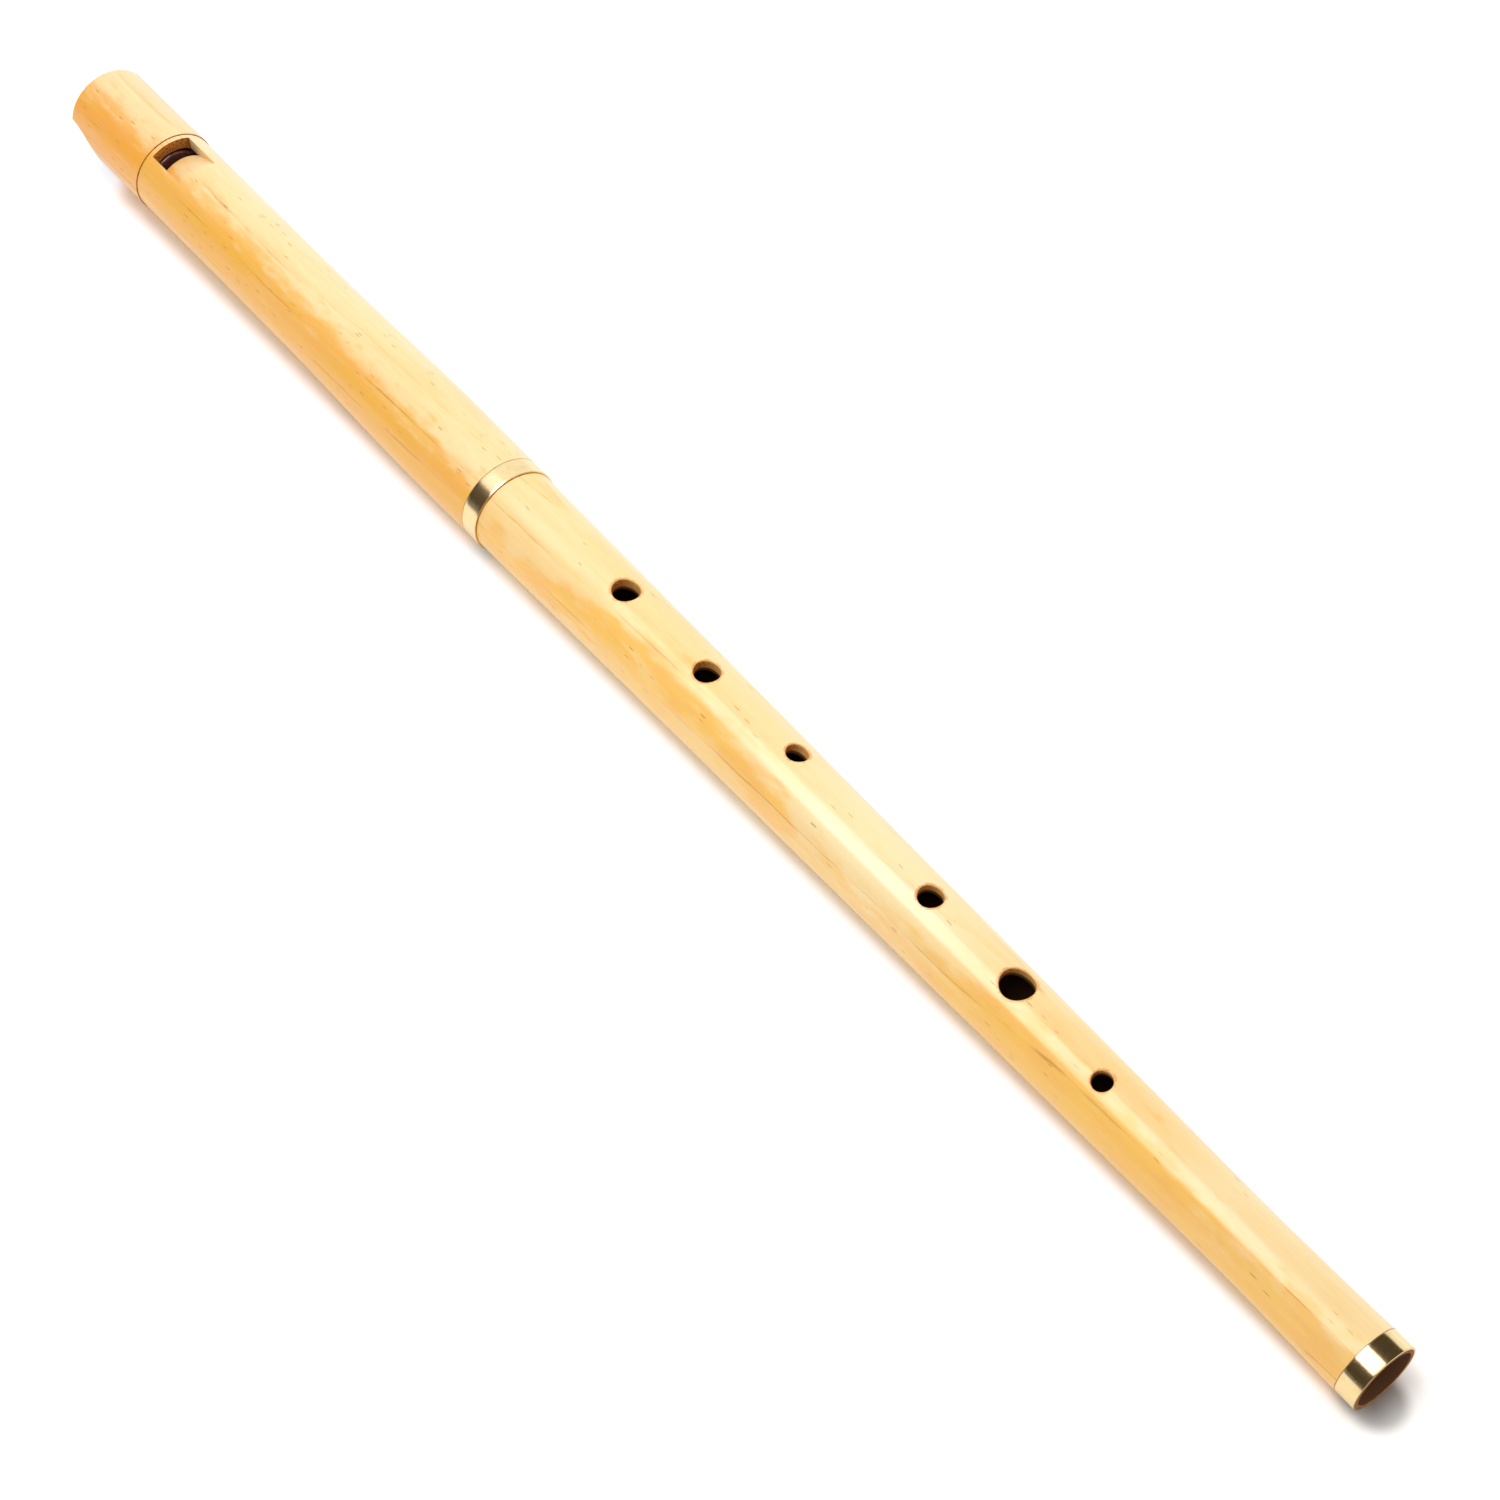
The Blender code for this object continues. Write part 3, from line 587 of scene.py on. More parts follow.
# The pale side faces up and to the far side, where the light falls: partly the wood's figure, partly
# painted light.
body_wood = make_pale_wood(
    "body_wood", ends=(SHOULDER_FACE, foot_ring_stop), lit_and_side_grain_cut=PALE_CUT,
    Pale=(0.96, 0.760, 0.42, 1), Honey=(0.96, 0.555, 0.125, 1),
    Sap_Side=(-0.0010, 0.060, 0.050), Sap_Depth=0.50, Drift=1.2, Seed=286.7,
    Heart=(0, -30.7, -53.2), Slant=(0, 0.0397, 0.0229), Ring_Width=9.0, Figure=0.20, Flecks=0.06,
    Deep_Start=0.28, Belly=-0.40)
dress(body_tube, body_wood)
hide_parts("body_tube")
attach(body_tube, "body")


# Foot ring: a plain brass tube, turned and polished, pressed on flush round the foot so that the
# thin wood there can't split. Its edges are just broken.
RING_EDGE = 0.00007
BRASS = (0.98, 0.78, 0.42, 1)
DULL_BRASS = (0.78, 0.53, 0.22, 1)
BRASS_LINES = (0.88, 0.62, 0.28, 1)
TURNING_DEPTH = 0.0000012
FOOT_RING_POLISH = 0.13            # roughness


def make_ring(name, start, end, radius, wall):
    outline = [(start, radius - wall)]
    outline += [(station, radius) for station in run(start, end, 6)]
    outline += [(station, radius - wall) for station in run(end, start, 6)[:-1]]
    ring = turn_on_lathe(name, outline)
    soften_edges(ring, RING_EDGE)
    return ring


def build_turning_marks():
    """Fine lines round a turned metal ring, with a dull bloom and tiny scratches."""
    tree, given, gives = start_group(
        "turning_marks", (("Vector", "Vector"), ("Start", "Float"), ("End", "Float")),
        (("Dull", "Float"), ("Lines", "Float"), ("Height", "Float")))
    millimetres = in_millimetres(tree, given["Vector"])
    lines = noise(tree, millimetres, (9.0, 0.05, 0.05), 4.0, 0.7).outputs["Fac"]
    bloom = noise(tree, millimetres, (0.25, 0.25, 0.25), 3.0, 0.6).outputs["Fac"]
    bloom = fade(tree, bloom, 0.42, 0.75)
    cells = reckon_vector(tree, "MULTIPLY", millimetres, (3.0, 0.7, 0.7))
    pit = add_node(tree, "ShaderNodeTexVoronoi", {"Vector": cells, "Scale": 1.0})
    pit = fade(tree, pit.outputs["Distance"], 0.12, 0.05)
    station = one_axis(tree, given["Vector"], "X")
    to_start = reckon(tree, "ABSOLUTE", reckon(tree, "SUBTRACT", station, given["Start"]))
    to_end = reckon(tree, "ABSOLUTE", reckon(tree, "SUBTRACT", station, given["End"]))
    edge = fade(tree, reckon(tree, "MINIMUM", to_start, to_end), 0.00030, 0.00005)
    edge = reckon(tree, "MULTIPLY", edge, 0.6)
    tree.links.new(reckon(tree, "MAXIMUM", reckon(tree, "MULTIPLY", bloom, 0.30), edge), gives["Dull"])
    tree.links.new(lines, gives["Lines"])
    tree.links.new(reckon(tree, "MULTIPLY_ADD", pit, -0.3, lines), gives["Height"])
    return tree


turning_marks = build_turning_marks()


def make_brass(name, start, end, polish):
    """Brass between two stations, dullest at its edges."""
    material, tree, shader = start_material(name, Metallic=1.0)
    along, _ = axis_coordinates(tree)
    marks = use_group(tree, turning_marks, {"Vector": along, "Start": start, "End": end})
    colour = blend(tree, marks["Dull"], BRASS, DULL_BRASS)
    colour = blend(tree, reckon(tree, "MULTIPLY", marks["Lines"], 0.20), colour, BRASS_LINES)
    tree.links.new(colour, shader.inputs["Base Color"])
    rough = reckon(tree, "MULTIPLY_ADD", marks["Dull"], 0.10, polish)
    rough = reckon(tree, "MULTIPLY_ADD", marks["Lines"], 0.06, rough)
    tree.links.new(rough, shader.inputs["Roughness"])
    bump = add_node(tree, "ShaderNodeBump", {
        "Height": marks["Height"], "Strength": 0.30, "Distance": TURNING_DEPTH})
    tree.links.new(bump.outputs[0], shader.inputs["Normal"])
    return material


foot_ring_start = FOOT_END - FOOT_RING_LENGTH
foot_ring = make_ring("foot_ring", foot_ring_start, FOOT_END, FOOT_RING_RADIUS, FOOT_RING_WALL)
lay_down(foot_ring)
dress(foot_ring, make_brass("foot_brass", foot_ring_start, FOOT_END, FOOT_RING_POLISH))
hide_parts("foot_ferrule")
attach(foot_ring, "body")


# Tenon cork: a strip of sheet cork glued round the tenon in its groove, sanded round and greased,
# so that the head slides and turns on it with a firm grip.
CORK_START = 0.2067
CORK_LENGTH = 0.0180
CORK_RADIUS = 0.0118
CORK_THICKNESS = 0.0006
CORK_EDGE = 0.0002
CORK = (0.66, 0.40, 0.18, 1)
DARK_CORK = (0.50, 0.28, 0.11, 1)
CORK_PORE = (0.13, 0.06, 0.025, 1)
CORK_PORE_DEPTH = 0.00006

cork_end = CORK_START + CORK_LENGTH
cork_outline = [(station, CORK_RADIUS) for station in run(CORK_START, cork_end, 12)]
cork_outline += [(station, CORK_RADIUS - CORK_THICKNESS) for station in run(cork_end, CORK_START, 12)]
tenon_cork = turn_on_lathe("cork_sleeve", cork_outline)
soften_edges(tenon_cork, CORK_EDGE)
lay_down(tenon_cork)

cork_material, tree, shader = start_material("greased_cork", Specular_IOR_Level=0.4)
along, _ = axis_coordinates(tree)
millimetres = in_millimetres(tree, along)
granules = add_node(tree, "ShaderNodeTexVoronoi", {"Vector": millimetres, "Scale": 1.1, "Randomness": 1.0})
tone = add_node(tree, "ShaderNodeSeparateColor", {"Color": granules.outputs["Color"]}).outputs[0]
pores = fade(tree, noise(tree, millimetres, (0.8, 2.0, 2.0), 3.0, 0.65).outputs["Fac"], 0.58, 0.68)
colour = blend(tree, pores, blend(tree, tone, CORK, DARK_CORK), CORK_PORE)
tree.links.new(colour, shader.inputs["Base Color"])
tree.links.new(reckon(tree, "MULTIPLY_ADD", pores, 0.2, 0.62), shader.inputs["Roughness"])
relief = reckon(tree, "MULTIPLY_ADD", pores, -1.0, reckon(tree, "MULTIPLY", tone, 0.3))
bump = add_node(tree, "ShaderNodeBump", {"Height": relief, "Strength": 0.6, "Distance": CORK_PORE_DEPTH})
tree.links.new(bump.outputs[0], shader.inputs["Normal"])
dress(tenon_cork, cork_material)
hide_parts("tenon_cork")
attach(tenon_cork, "cork")


# Head tube: pale lacquered wood, turned with a slim neck and a barrel that leaves a thick wall
# round the socket. The window is cut square through the wall, and the ramp is pared down to a thin
# edge that follows the curve of the bore.
HEAD_START = 0.0409
HEAD_LENGTH = 0.1895
HEAD_END = HEAD_START + HEAD_LENGTH
HEAD_TOP_RADIUS = 0.01415
NECK_RADIUS = 0.0140
NECK_DISTANCE = 0.0840
BARREL_RADIUS = 0.0148
BARREL_DISTANCE = 0.1500
HEAD_BORE_RADIUS = 0.0103
SPIGOT_START = 0.0189
SPIGOT_RADIUS = 0.0123
SOCKET_START = 0.2007
SOCKET_RADIUS = 0.0121
HEAD_RING_LENGTH = 0.0064
HEAD_RING_RADIUS = 0.01445
HEAD_RING_WALL = 0.0007
WINDOW_START = 0.0427
LABIUM = 0.0479
WINDOW_WIDTH = 0.0137
RAMP_LENGTH = 0.0110
LABIUM_THICKNESS = 0.0004
RAMP_OVERRUN = (0.0010, 0.0020)    # of the ramp's cutter, past either end
WINDOW_CUT_HEIGHT = 0.0120
# The colour of the head's cut faces where they are painted as lit, and of its side grain, such as the
# window's far wall.
HEAD_PALE_CUT = (0.97, 0.75, 0.43, 1)
HEAD_TURN = math.radians(7.5)      # the head stands turned a little from the row of finger holes


def head_radius(station):
    """Outer radius of the head tube: a slim neck, then a barrel over the socket."""
    distance = station - HEAD_START
    if distance < NECK_DISTANCE:
        rise = (1 - math.cos(math.pi * distance / NECK_DISTANCE)) / 2
        return HEAD_TOP_RADIUS + (NECK_RADIUS - HEAD_TOP_RADIUS) * rise
    if distance < BARREL_DISTANCE:
        share = (distance - NECK_DISTANCE) / (BARREL_DISTANCE - NECK_DISTANCE)
        return NECK_RADIUS + (BARREL_RADIUS - NECK_RADIUS) * (1 - math.cos(math.pi * share)) / 2
    share = (distance - BARREL_DISTANCE) / (HEAD_LENGTH - HEAD_RING_LENGTH - BARREL_DISTANCE)
    return BARREL_RADIUS - (BARREL_RADIUS - HEAD_RING_RADIUS) * share ** 2


def make_arched_cutter(profile):
    """A cutter as wide as the window, whose underside arches about the tube's axis.

    The profile gives the arch's radius at a run of equally spaced stations.
    """
    start, end = profile[0][0], profile[-1][0]
    bpy.ops.object.select_all(action="DESELECT")
    bpy.ops.mesh.primitive_grid_add(
        x_subdivisions=len(profile) - 1, y_subdivisions=32, size=1, location=((start + end) / 2, 0, 0))
    cutter = bpy.context.object
    cutter.scale = (end - start, WINDOW_WIDTH, 1)
    bpy.ops.object.transform_apply(location=True, rotation=True, scale=True)
    for vertex in cutter.data.vertices:
        share = (vertex.co.x - start) / (end - start)
        station, radius = profile[round(share * (len(profile) - 1))]
        vertex.co.x = station
        vertex.co.z = math.sqrt(radius ** 2 - vertex.co.y ** 2)
    bpy.ops.object.mode_set(mode="EDIT")
    bpy.ops.mesh.select_all(action="SELECT")
    bpy.ops.mesh.extrude_region_move(TRANSFORM_OT_translate={"value": (0, 0, CLEAR_OF_THE_WOOD)})
    bpy.ops.transform.resize(value=(1, 1, 0), center_override=(0, 0, CLEAR_OF_THE_WOOD))
    bpy.ops.object.mode_set(mode="OBJECT")
    finish_cutter(cutter)
    return cutter


head_ring_start = HEAD_END - HEAD_RING_LENGTH
head_ring_seat = HEAD_RING_RADIUS - HEAD_RING_WALL - RING_SEAM
head_ring_stop = head_ring_start - RING_SEAM
head_outline = [
    (SPIGOT_START, HEAD_BORE_RADIUS),
    (SPIGOT_START, SPIGOT_RADIUS),
    (HEAD_START, SPIGOT_RADIUS),
]
head_outline += [(station, head_radius(station)) for station in run(HEAD_START, head_ring_stop, 48)]
head_outline += [(head_ring_stop, head_ring_seat), (HEAD_END, head_ring_seat)]
head_outline += [(station, SOCKET_RADIUS) for station in run(HEAD_END, SOCKET_START, 6)]
head_outline += [(station, HEAD_BORE_RADIUS) for station in run(SOCKET_START, SPIGOT_START, 30)[:-1]]
head_tube = turn_on_lathe("whistle_head", head_outline)
soften_edges(head_tube, SANDED_EDGE)

bpy.ops.object.select_all(action="DESELECT")
bpy.ops.mesh.primitive_cube_add(
    size=1, location=((WINDOW_START + LABIUM) / 2, 0, WINDOW_CUT_HEIGHT),
    scale=(LABIUM - WINDOW_START, WINDOW_WIDTH, WINDOW_CUT_HEIGHT))
window_cutter = bpy.context.object
bpy.ops.object.transform_apply(location=True, rotation=True, scale=True)
cut_away(head_tube, window_cutter)
labium_radius = HEAD_BORE_RADIUS + LABIUM_THICKNESS
ramp_slope = (HEAD_TOP_RADIUS - labium_radius) / RAMP_LENGTH
ramp_stations = run(LABIUM - RAMP_OVERRUN[0], LABIUM + RAMP_LENGTH + RAMP_OVERRUN[1], 7)
ramp_profile = [(station, labium_radius + ramp_slope * (station - LABIUM)) for station in ramp_stations]
cut_away(head_tube, make_arched_cutter(ramp_profile))
lay_down(head_tube, HEAD_TURN)

# Its pale side faces up and away, partly painted light, as for the body.
head_wood = make_pale_wood(
    "head_wood", ends=(HEAD_START, head_ring_stop), lit_and_side_grain_cut=HEAD_PALE_CUT,
    Pale=(0.94, 0.765, 0.425, 1), Honey=(0.90, 0.465, 0.074, 1),
    Sap_Side=(0.0022, 0.055, 0.045), Sap_Depth=-0.43, Drift=0.25, Seed=3.4,
    Heart=(0, -29.0, -50.0), Slant=(0, 0.017, -0.017), Ring_Width=8.5, Figure=0.15, Flecks=0.17)
dress(head_tube, head_wood)
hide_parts("head_tube")
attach(head_tube, "head")


# Socket ring: a brass tube like the foot ring, let in flush at the mouth of the socket, where the
# cork pushes the wood outwards.
HEAD_RING_POLISH = 0.17            # roughness
socket_ring = make_ring("socket_ring", head_ring_start, HEAD_END, HEAD_RING_RADIUS, HEAD_RING_WALL)
lay_down(socket_ring, HEAD_TURN)
dress(socket_ring, make_brass("socket_brass", head_ring_start, HEAD_END, HEAD_RING_POLISH))
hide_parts("socket_ferrule")
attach(socket_ring, "head")


# Mouthpiece cap: the beak, turned from the same pale wood and glued over the head's spigot. Its
# underside is hollowed out in a quarter round, so that the lower lip fits under the tip.
CAP_LENGTH = 0.0408
TIP_RADIUS = 0.01455
CAP_RADIUS = 0.01445
TIP_ROUNDING = 0.0008
TIP_STEPS = 8
SCOOP_RADIUS = 0.0165
BEAK_THICKNESS = 0.0108
GLUE_GAP = 0.0003
BEAK_EDGE = 0.00008
DRUM_LENGTH = 0.0360


def make_scoop_cutter():
    """A drum across the whistle, below its tip."""
    bpy.ops.object.select_all(action="DESELECT")
    bpy.ops.mesh.primitive_cylinder_add(
        vertices=160, radius=SCOOP_RADIUS, depth=DRUM_LENGTH,
        location=(0, 0, TIP_RADIUS - BEAK_THICKNESS - SCOOP_RADIUS), rotation=(math.pi / 2, 0, 0))
    drum = bpy.context.object
    bpy.ops.object.transform_apply(location=True, rotation=True, scale=True)
    return drum


cap_outline = [(0.0, HEAD_BORE_RADIUS)]
for step in range(TIP_STEPS + 1):
    angle = math.pi / 2 * (1 - step / TIP_STEPS)
    inwards = TIP_ROUNDING * (1 - math.cos(angle))
    cap_outline.append((TIP_ROUNDING * (1 - math.sin(angle)), TIP_RADIUS - inwards))
for station in run(TIP_ROUNDING, CAP_LENGTH, 12)[1:]:
    cap_outline.append((station, TIP_RADIUS + (CAP_RADIUS - TIP_RADIUS) * station / CAP_LENGTH))
mortise_floor = SPIGOT_START - GLUE_GAP
cap_outline += [(station, SPIGOT_RADIUS + GLUE_GAP) for station in run(CAP_LENGTH, mortise_floor, 4)]
cap_outline += [(station, HEAD_BORE_RADIUS) for station in run(mortise_floor, 0.0, 4)[:-1]]
cap = turn_on_lathe("beak", cap_outline)
soften_edges(cap, BEAK_EDGE)
cut_away(cap, make_scoop_cutter())
lay_down(cap, HEAD_TURN)

# Its pale side faces up and away, partly painted light, as for the body.
cap_wood = make_pale_wood(
    "cap_wood", ends=(CAP_LENGTH, CAP_LENGTH), lit_and_side_grain_cut=PALE_CUT,
    Pale=(0.95, 0.755, 0.42, 1), Honey=(0.91, 0.41, 0.055, 1),
    Sap_Side=(0, 0.050, 0.050), Sap_Depth=-0.30, Drift=0.1, Seed=8.2,
    Heart=(0, -26.0, -47.0), Slant=(0, 0.010, 0.0), Ring_Width=8.0, Figure=0.15, Flecks=0.07)
dress(cap, cap_wood)
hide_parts("mouthpiece_cap")
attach(cap, "head")


# Fipple block: a plug of dark, dense wood that is pressed into the bore up to the window. Its
# arched top is the floor of the windway, with a rounded edge where the air leaves it.
BLOCK_RADIUS = 0.0100
WINDWAY_ENTRY_HEIGHT = 0.0016
WINDWAY_EXIT_HEIGHT = 0.0012
BLOCK_ROUNDING = 0.0009
BLOCK_STEPS = 9
BLOCK_EDGE = 0.0002
BLOCK_WOOD = (0.075, 0.022, 0.020, 1)
BLOCK_STREAK = (0.21, 0.065, 0.045, 1)
BLOCK_VESSEL = (0.03, 0.012, 0.014, 1)
VESSEL_DEPTH = 0.00002

bpy.ops.object.select_all(action="DESELECT")
bpy.ops.mesh.primitive_cylinder_add(
    vertices=SIDES, radius=BLOCK_RADIUS, depth=WINDOW_START, location=(WINDOW_START / 2, 0, 0),
    rotation=(0, math.pi / 2, 0))
block = bpy.context.object
block.name = "block"
bpy.ops.object.transform_apply(location=True, rotation=True, scale=True)
soften_edges(block, BLOCK_EDGE)
exit_radius = HEAD_BORE_RADIUS - WINDWAY_EXIT_HEIGHT
entry_radius = HEAD_BORE_RADIUS - WINDWAY_ENTRY_HEIGHT
windway_floor = [(-0.0020, entry_radius), (WINDOW_START - BLOCK_ROUNDING, exit_radius)]
for step in range(1, BLOCK_STEPS):
    angle = math.pi / 2 * step / BLOCK_STEPS
    drop = BLOCK_ROUNDING * (1 - math.cos(angle))
    windway_floor.append((WINDOW_START - BLOCK_ROUNDING * (1 - math.sin(angle)), exit_radius - drop))
windway_floor.append((WINDOW_START + 0.0002, exit_radius - 1.4 * BLOCK_ROUNDING))
cut_away(block, make_arched_cutter(windway_floor))
cut_away(block, make_scoop_cutter())
lay_down(block, HEAD_TURN)

block_material, tree, shader = start_material(
    "dark_block_wood", IOR=1.5, Coat_Weight=0.8, Coat_Roughness=0.12, Coat_IOR=1.5)
along, _ = axis_coordinates(tree)
millimetres = in_millimetres(tree, along)
streak = noise(tree, millimetres, (0.10, 1.2, 1.2), 4.0, 0.6).outputs["Fac"]
cells = reckon_vector(tree, "MULTIPLY", millimetres, (0.3, 4.0, 4.0))
vessels = add_node(tree, "ShaderNodeTexVoronoi", {"Vector": cells, "Scale": 1.0})
vessels = fade(tree, vessels.outputs["Distance"], 0.20, 0.10)
colour = blend(tree, fade(tree, streak, 0.35, 0.70), BLOCK_WOOD, BLOCK_STREAK)
colour = blend(tree, reckon(tree, "MULTIPLY", vessels, 0.6), colour, BLOCK_VESSEL)
tree.links.new(colour, shader.inputs["Base Color"])
tree.links.new(reckon(tree, "MULTIPLY_ADD", streak, 0.2, 0.25), shader.inputs["Roughness"])
relief = reckon(tree, "MULTIPLY_ADD", vessels, -1.0, reckon(tree, "MULTIPLY", streak, 0.4))
bump = add_node(tree, "ShaderNodeBump", {"Height": relief, "Strength": 0.4, "Distance": VESSEL_DEPTH})
tree.links.new(bump.outputs[0], shader.inputs["Normal"])
dress(block, block_material)
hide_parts("fipple_block")
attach(block, "head")


# Studio: a white table top under one wide soft lamp that hangs over the mouthpiece end, in a white
# room that is dark on the whistle's near side. The lamp itself is hidden from the gloss; the cards
# are painted reflections that only the gloss of the brass and the lacquer meets. Two paint the lamp's
# bright face, strongest where the body sees it, and two paint dark bands for the dark room.
WHISTLE_MIDDLE = (0.0140, 0, 0)
WHISTLE_HALF_LENGTH = (0.2790, 0, 0)
FOOT_SHADOW_PLACE = (0.2920, 0.0040, 0)
FOOT_SHADOW_HALF_WIDTH = (0, 0.0050, 0)
PAST_END = (0.270, 0.295)          # where the table turns from its cool tone to its warm one
TABLE = (0.85, 0.875, 0.90, 1)
TABLE_PAST_END = (0.885, 0.87, 0.85, 1)
TABLE_IN_GLOSS = (0.62, 0.60, 0.57, 1)
TABLE_PAINTED_SHADOW = (0.10, 0.055, 0.030, 1)
TABLE_GLOW = (0.92, 1.0, 1.14, 1)
TABLE_GLOW_PAST_END = (1.04, 1.0, 0.96, 1)
NO_DISTANCE = (0, 0, 0)


def outside_of(tree, place, middle, half_size):
    """How far a place lies outside a box, as a vector."""
    away = reckon_vector(tree, "ABSOLUTE", reckon_vector(tree, "SUBTRACT", place, middle))
    return reckon_vector(tree, "MAXIMUM", reckon_vector(tree, "SUBTRACT", away, half_size), NO_DISTANCE)


bpy.ops.object.select_all(action="DESELECT")
bpy.ops.mesh.primitive_plane_add(size=8, location=(0, 0, 0))
table_top = bpy.context.object
table_top.name = "table_top"
table_material, tree, shader = start_material("white_table", Roughness=0.9, Specular_IOR_Level=0.0)
place = add_node(tree, "ShaderNodeTexCoord").outputs["Object"]
along = one_axis(tree, place, "X")
# Past the foot end the table and its glow turn warm, which paints a warm tint into the shadow there.
past_end = fade(tree, along, *PAST_END)
# Painted shadow: the table is painted dark close to the foot end, deepening the shadow there.
from_foot = measure(tree, "LENGTH", outside_of(tree, place, FOOT_SHADOW_PLACE, FOOT_SHADOW_HALF_WIDTH))
painted_foot_shadow = reckon(tree, "MULTIPLY", fade(tree, from_foot, 0.0120, -0.0030), 0.95)
rays = add_node(tree, "ShaderNodeLightPath").outputs
table_colour = blend(tree, past_end, TABLE, TABLE_PAST_END)
# Seen in the gloss the table is darker, which paints dimmer reflections of it in the lacquer and the
# brass.
table_colour = blend(tree, rays["Is Glossy Ray"], table_colour, TABLE_IN_GLOSS)
table_colour = blend(tree, painted_foot_shadow, table_colour, TABLE_PAINTED_SHADOW)
tree.links.new(table_colour, shader.inputs["Base Color"])
table_glow = blend(tree, past_end, TABLE_GLOW, TABLE_GLOW_PAST_END)
tree.links.new(table_glow, shader.inputs["Emission Color"])

# The table glows towards the eye and in the gloss, so that it looks white. The glow is lowered in a
# band along the whistle, which paints a darker, narrower shadow there. The table also glows for
# diffuse rays, which lights the whistle's underside from below.
from_whistle = measure(tree, "LENGTH", outside_of(tree, place, WHISTLE_MIDDLE, WHISTLE_HALF_LENGTH))
shadow_width = reckon(tree, "MULTIPLY_ADD", along, -0.010, 0.0130)
out_of_shadow = fade(tree, reckon(tree, "DIVIDE", from_whistle, shadow_width), 0.54, 1.02)
glow = reckon(tree, "MULTIPLY_ADD", out_of_shadow, 0.37, 0.03)
glow = reckon(tree, "MULTIPLY_ADD", fade(tree, from_whistle, 0.05, 0.40), 0.41, glow)
seen = reckon(tree, "MAXIMUM", rays["Is Glossy Ray"], rays["Is Transmission Ray"])
seen = reckon(tree, "MAXIMUM", rays["Is Camera Ray"], seen)
glow = reckon(tree, "MULTIPLY", glow, seen)
glow = reckon(tree, "MULTIPLY_ADD", rays["Is Diffuse Ray"], 0.32, glow)
tree.links.new(glow, shader.inputs["Emission Strength"])
dress(table_top, table_material)

LAMP_HEIGHT = 0.60
lamp_data = bpy.data.lights.new("overhead_lamp", "AREA")
lamp_data.shape = "RECTANGLE"
lamp_data.size = 0.84
lamp_data.size_y = 0.735
lamp_data.energy = 2.65
lamp_data.color = (1.0, 0.99, 0.975)
lamp = bpy.data.objects.new("overhead_lamp", lamp_data)
lamp.location = (-0.11, -0.14, LAMP_HEIGHT)
lamp.visible_camera = False
lamp.visible_glossy = False
bpy.context.scene.collection.objects.link(lamp)


def put_up_card(name, corners, shade, *glows):
    """A painted reflection: a card between four corners that only glossy rays meet, with its glow at some
    places along X.
    """
    bpy.ops.object.select_all(action="DESELECT")
    bpy.ops.mesh.primitive_plane_add(size=1)
    card = bpy.context.object
    card.name = name
    for vertex, corner in zip(card.data.vertices, corners):
        vertex.co = corner
    material, tree, shader = start_material(
        name, Roughness=1.0, Specular_IOR_Level=0.0, Base_Color=(0, 0, 0, 1), Emission_Color=shade)
    place = one_axis(tree, add_node(tree, "ShaderNodeTexCoord").outputs["Object"], "X")
    glow = glows[0][1]
    for (start, old_glow), (end, new_glow) in zip(glows, glows[1:]):
        glow = reckon(tree, "MULTIPLY_ADD", fade(tree, place, start, end), new_glow - old_glow, glow)
    if len(glows) == 1:
        shader.inputs["Emission Strength"].default_value = glow
    else:
        tree.links.new(glow, shader.inputs["Emission Strength"])
    dress(card, material)
    card.visible_camera = False
    card.visible_diffuse = False
    card.visible_shadow = False
    card.visible_transmission = False


# The lamp's painted reflection is tinted pink, so that the highlight it paints on the lacquer is less
# yellow.
LAMP_SHADE = (1.0, 0.84, 0.96, 1)
LAMP_END_SHADE = (1.0, 1.0, 1.0, 1)
DARK_ROOM = (1.0, 0.77, 0.47, 1)
DARK_ROOM_GLOW = (0, 0.055)
put_up_card(
    "lamp_reflection_card",
    [(-0.57, -0.43, LAMP_HEIGHT), (0.14, -0.565, LAMP_HEIGHT),
     (-0.57, -0.04, LAMP_HEIGHT), (0.14, 0.0, LAMP_HEIGHT)],
    LAMP_SHADE, (-0.42, 1.2), (-0.25, 9.0), (0.06, 9.0), (0.14, 3.0))
put_up_card(
    "lamp_end_reflection_card",
    [(0.14, -0.565, LAMP_HEIGHT), (0.27, -0.59, LAMP_HEIGHT),
     (0.14, 0.0, LAMP_HEIGHT), (0.27, 0.01, LAMP_HEIGHT)],
    LAMP_END_SHADE, (0, 2.4))
put_up_card(
    "rear_dark_reflection_card", [(0.0, 0.30, 0.138), (0.60, 0.30, 0.138), (0.0, 0.0, 0.60), (0.60, 0.01, 0.60)],
    DARK_ROOM, DARK_ROOM_GLOW)
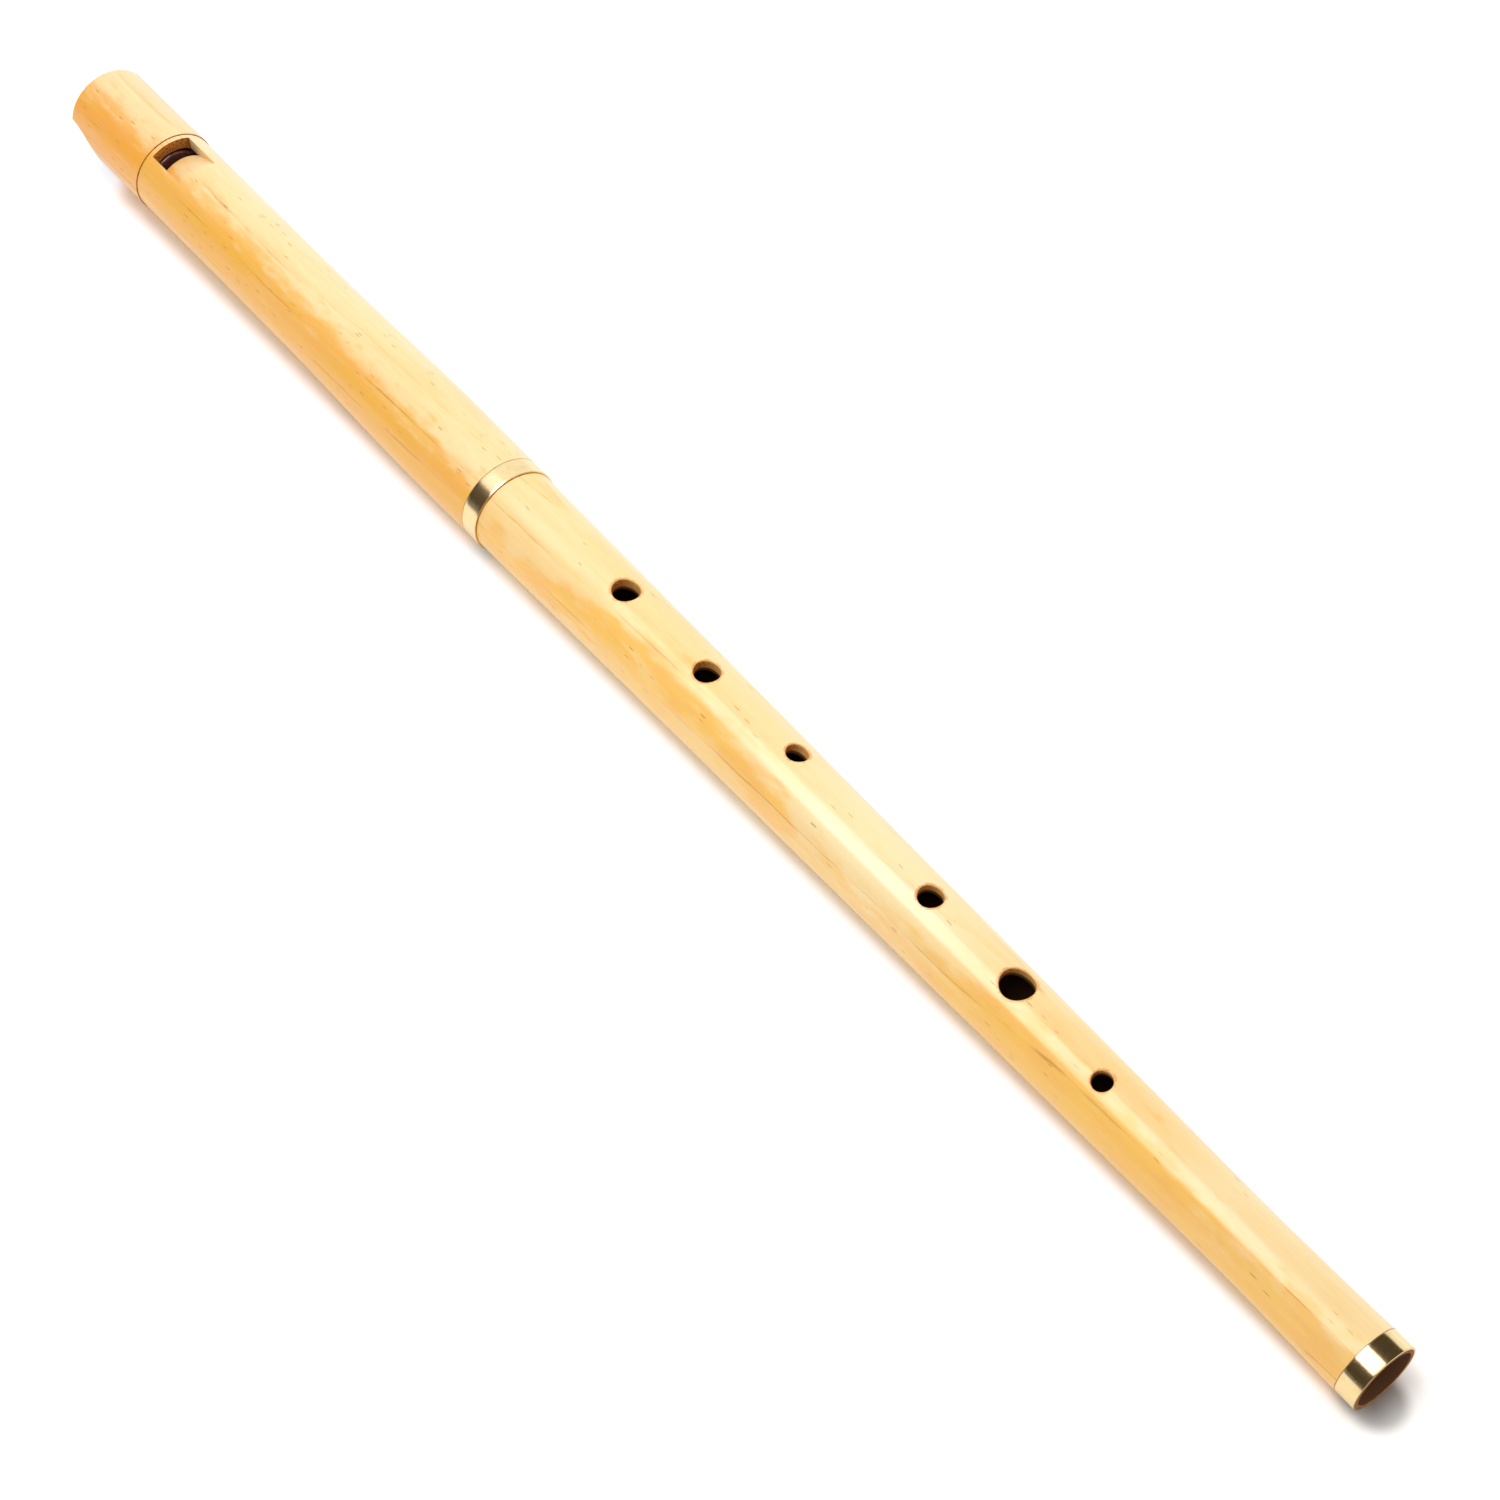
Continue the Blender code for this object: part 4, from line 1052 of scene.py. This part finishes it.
put_up_card(
    "front_dark_reflection_card", [(-0.80, -1.0, 0.001), (0.80, -1.0, 0.001), (-0.80, -0.12, 0.001), (0.80, -0.12, 0.001)],
    DARK_ROOM, DARK_ROOM_GLOW)

ROOM_LIGHT = 0.78
WHITE_ROOM = (1, 1, 1, 1)
DARK_SIDE = (0.055, 0.042, 0.026, 1)
DARK_SIDE_RISE = (1.40, 1.12)      # height over nearness, from where the room is white down to dark
world = bpy.data.worlds.new("white_room")
bpy.context.scene.world = world
world.use_nodes = True
tree = world.node_tree
background = tree.nodes["Background"]
rays = add_node(tree, "ShaderNodeLightPath").outputs
towards = add_node(tree, "ShaderNodeTexCoord").outputs["Generated"]
nearer = reckon(tree, "MAXIMUM", reckon(tree, "MULTIPLY", one_axis(tree, towards, "Y"), -1.0), 0.0001)
rise = reckon(tree, "DIVIDE", one_axis(tree, towards, "Z"), nearer)
met = reckon(tree, "MULTIPLY_ADD", rays["Is Diffuse Ray"], 0.45, rays["Is Glossy Ray"])
dark_side = reckon(tree, "MULTIPLY", fade(tree, rise, *DARK_SIDE_RISE), met)
tree.links.new(blend(tree, dark_side, WHITE_ROOM, DARK_SIDE), background.inputs["Color"])
direct = reckon(tree, "MAXIMUM", rays["Is Camera Ray"], rays["Is Glossy Ray"])
strength = reckon(tree, "MULTIPLY_ADD", direct, 1.0 - ROOM_LIGHT, ROOM_LIGHT)
tree.links.new(strength, background.inputs["Strength"])

CAMERA_PLACE = Vector((0.446531, -0.364700, 0.627859))
CAMERA_AIM = Vector((0.050697, -0.0009, 0.013132))
CAMERA_ROLL = math.radians(5.263)
camera_data = bpy.data.cameras.new("camera")
camera_data.lens = 70.74
camera_data.sensor_width = 36
camera_data.clip_start = 0.01
camera = bpy.data.objects.new("camera", camera_data)
camera.location = CAMERA_PLACE
level = (CAMERA_AIM - CAMERA_PLACE).to_track_quat("-Z", "Y")
camera.rotation_euler = (level @ Quaternion((0, 0, 1), CAMERA_ROLL)).to_euler()
bpy.context.scene.collection.objects.link(camera)
bpy.context.scene.camera = camera
bpy.context.scene.view_settings.view_transform = "Standard"
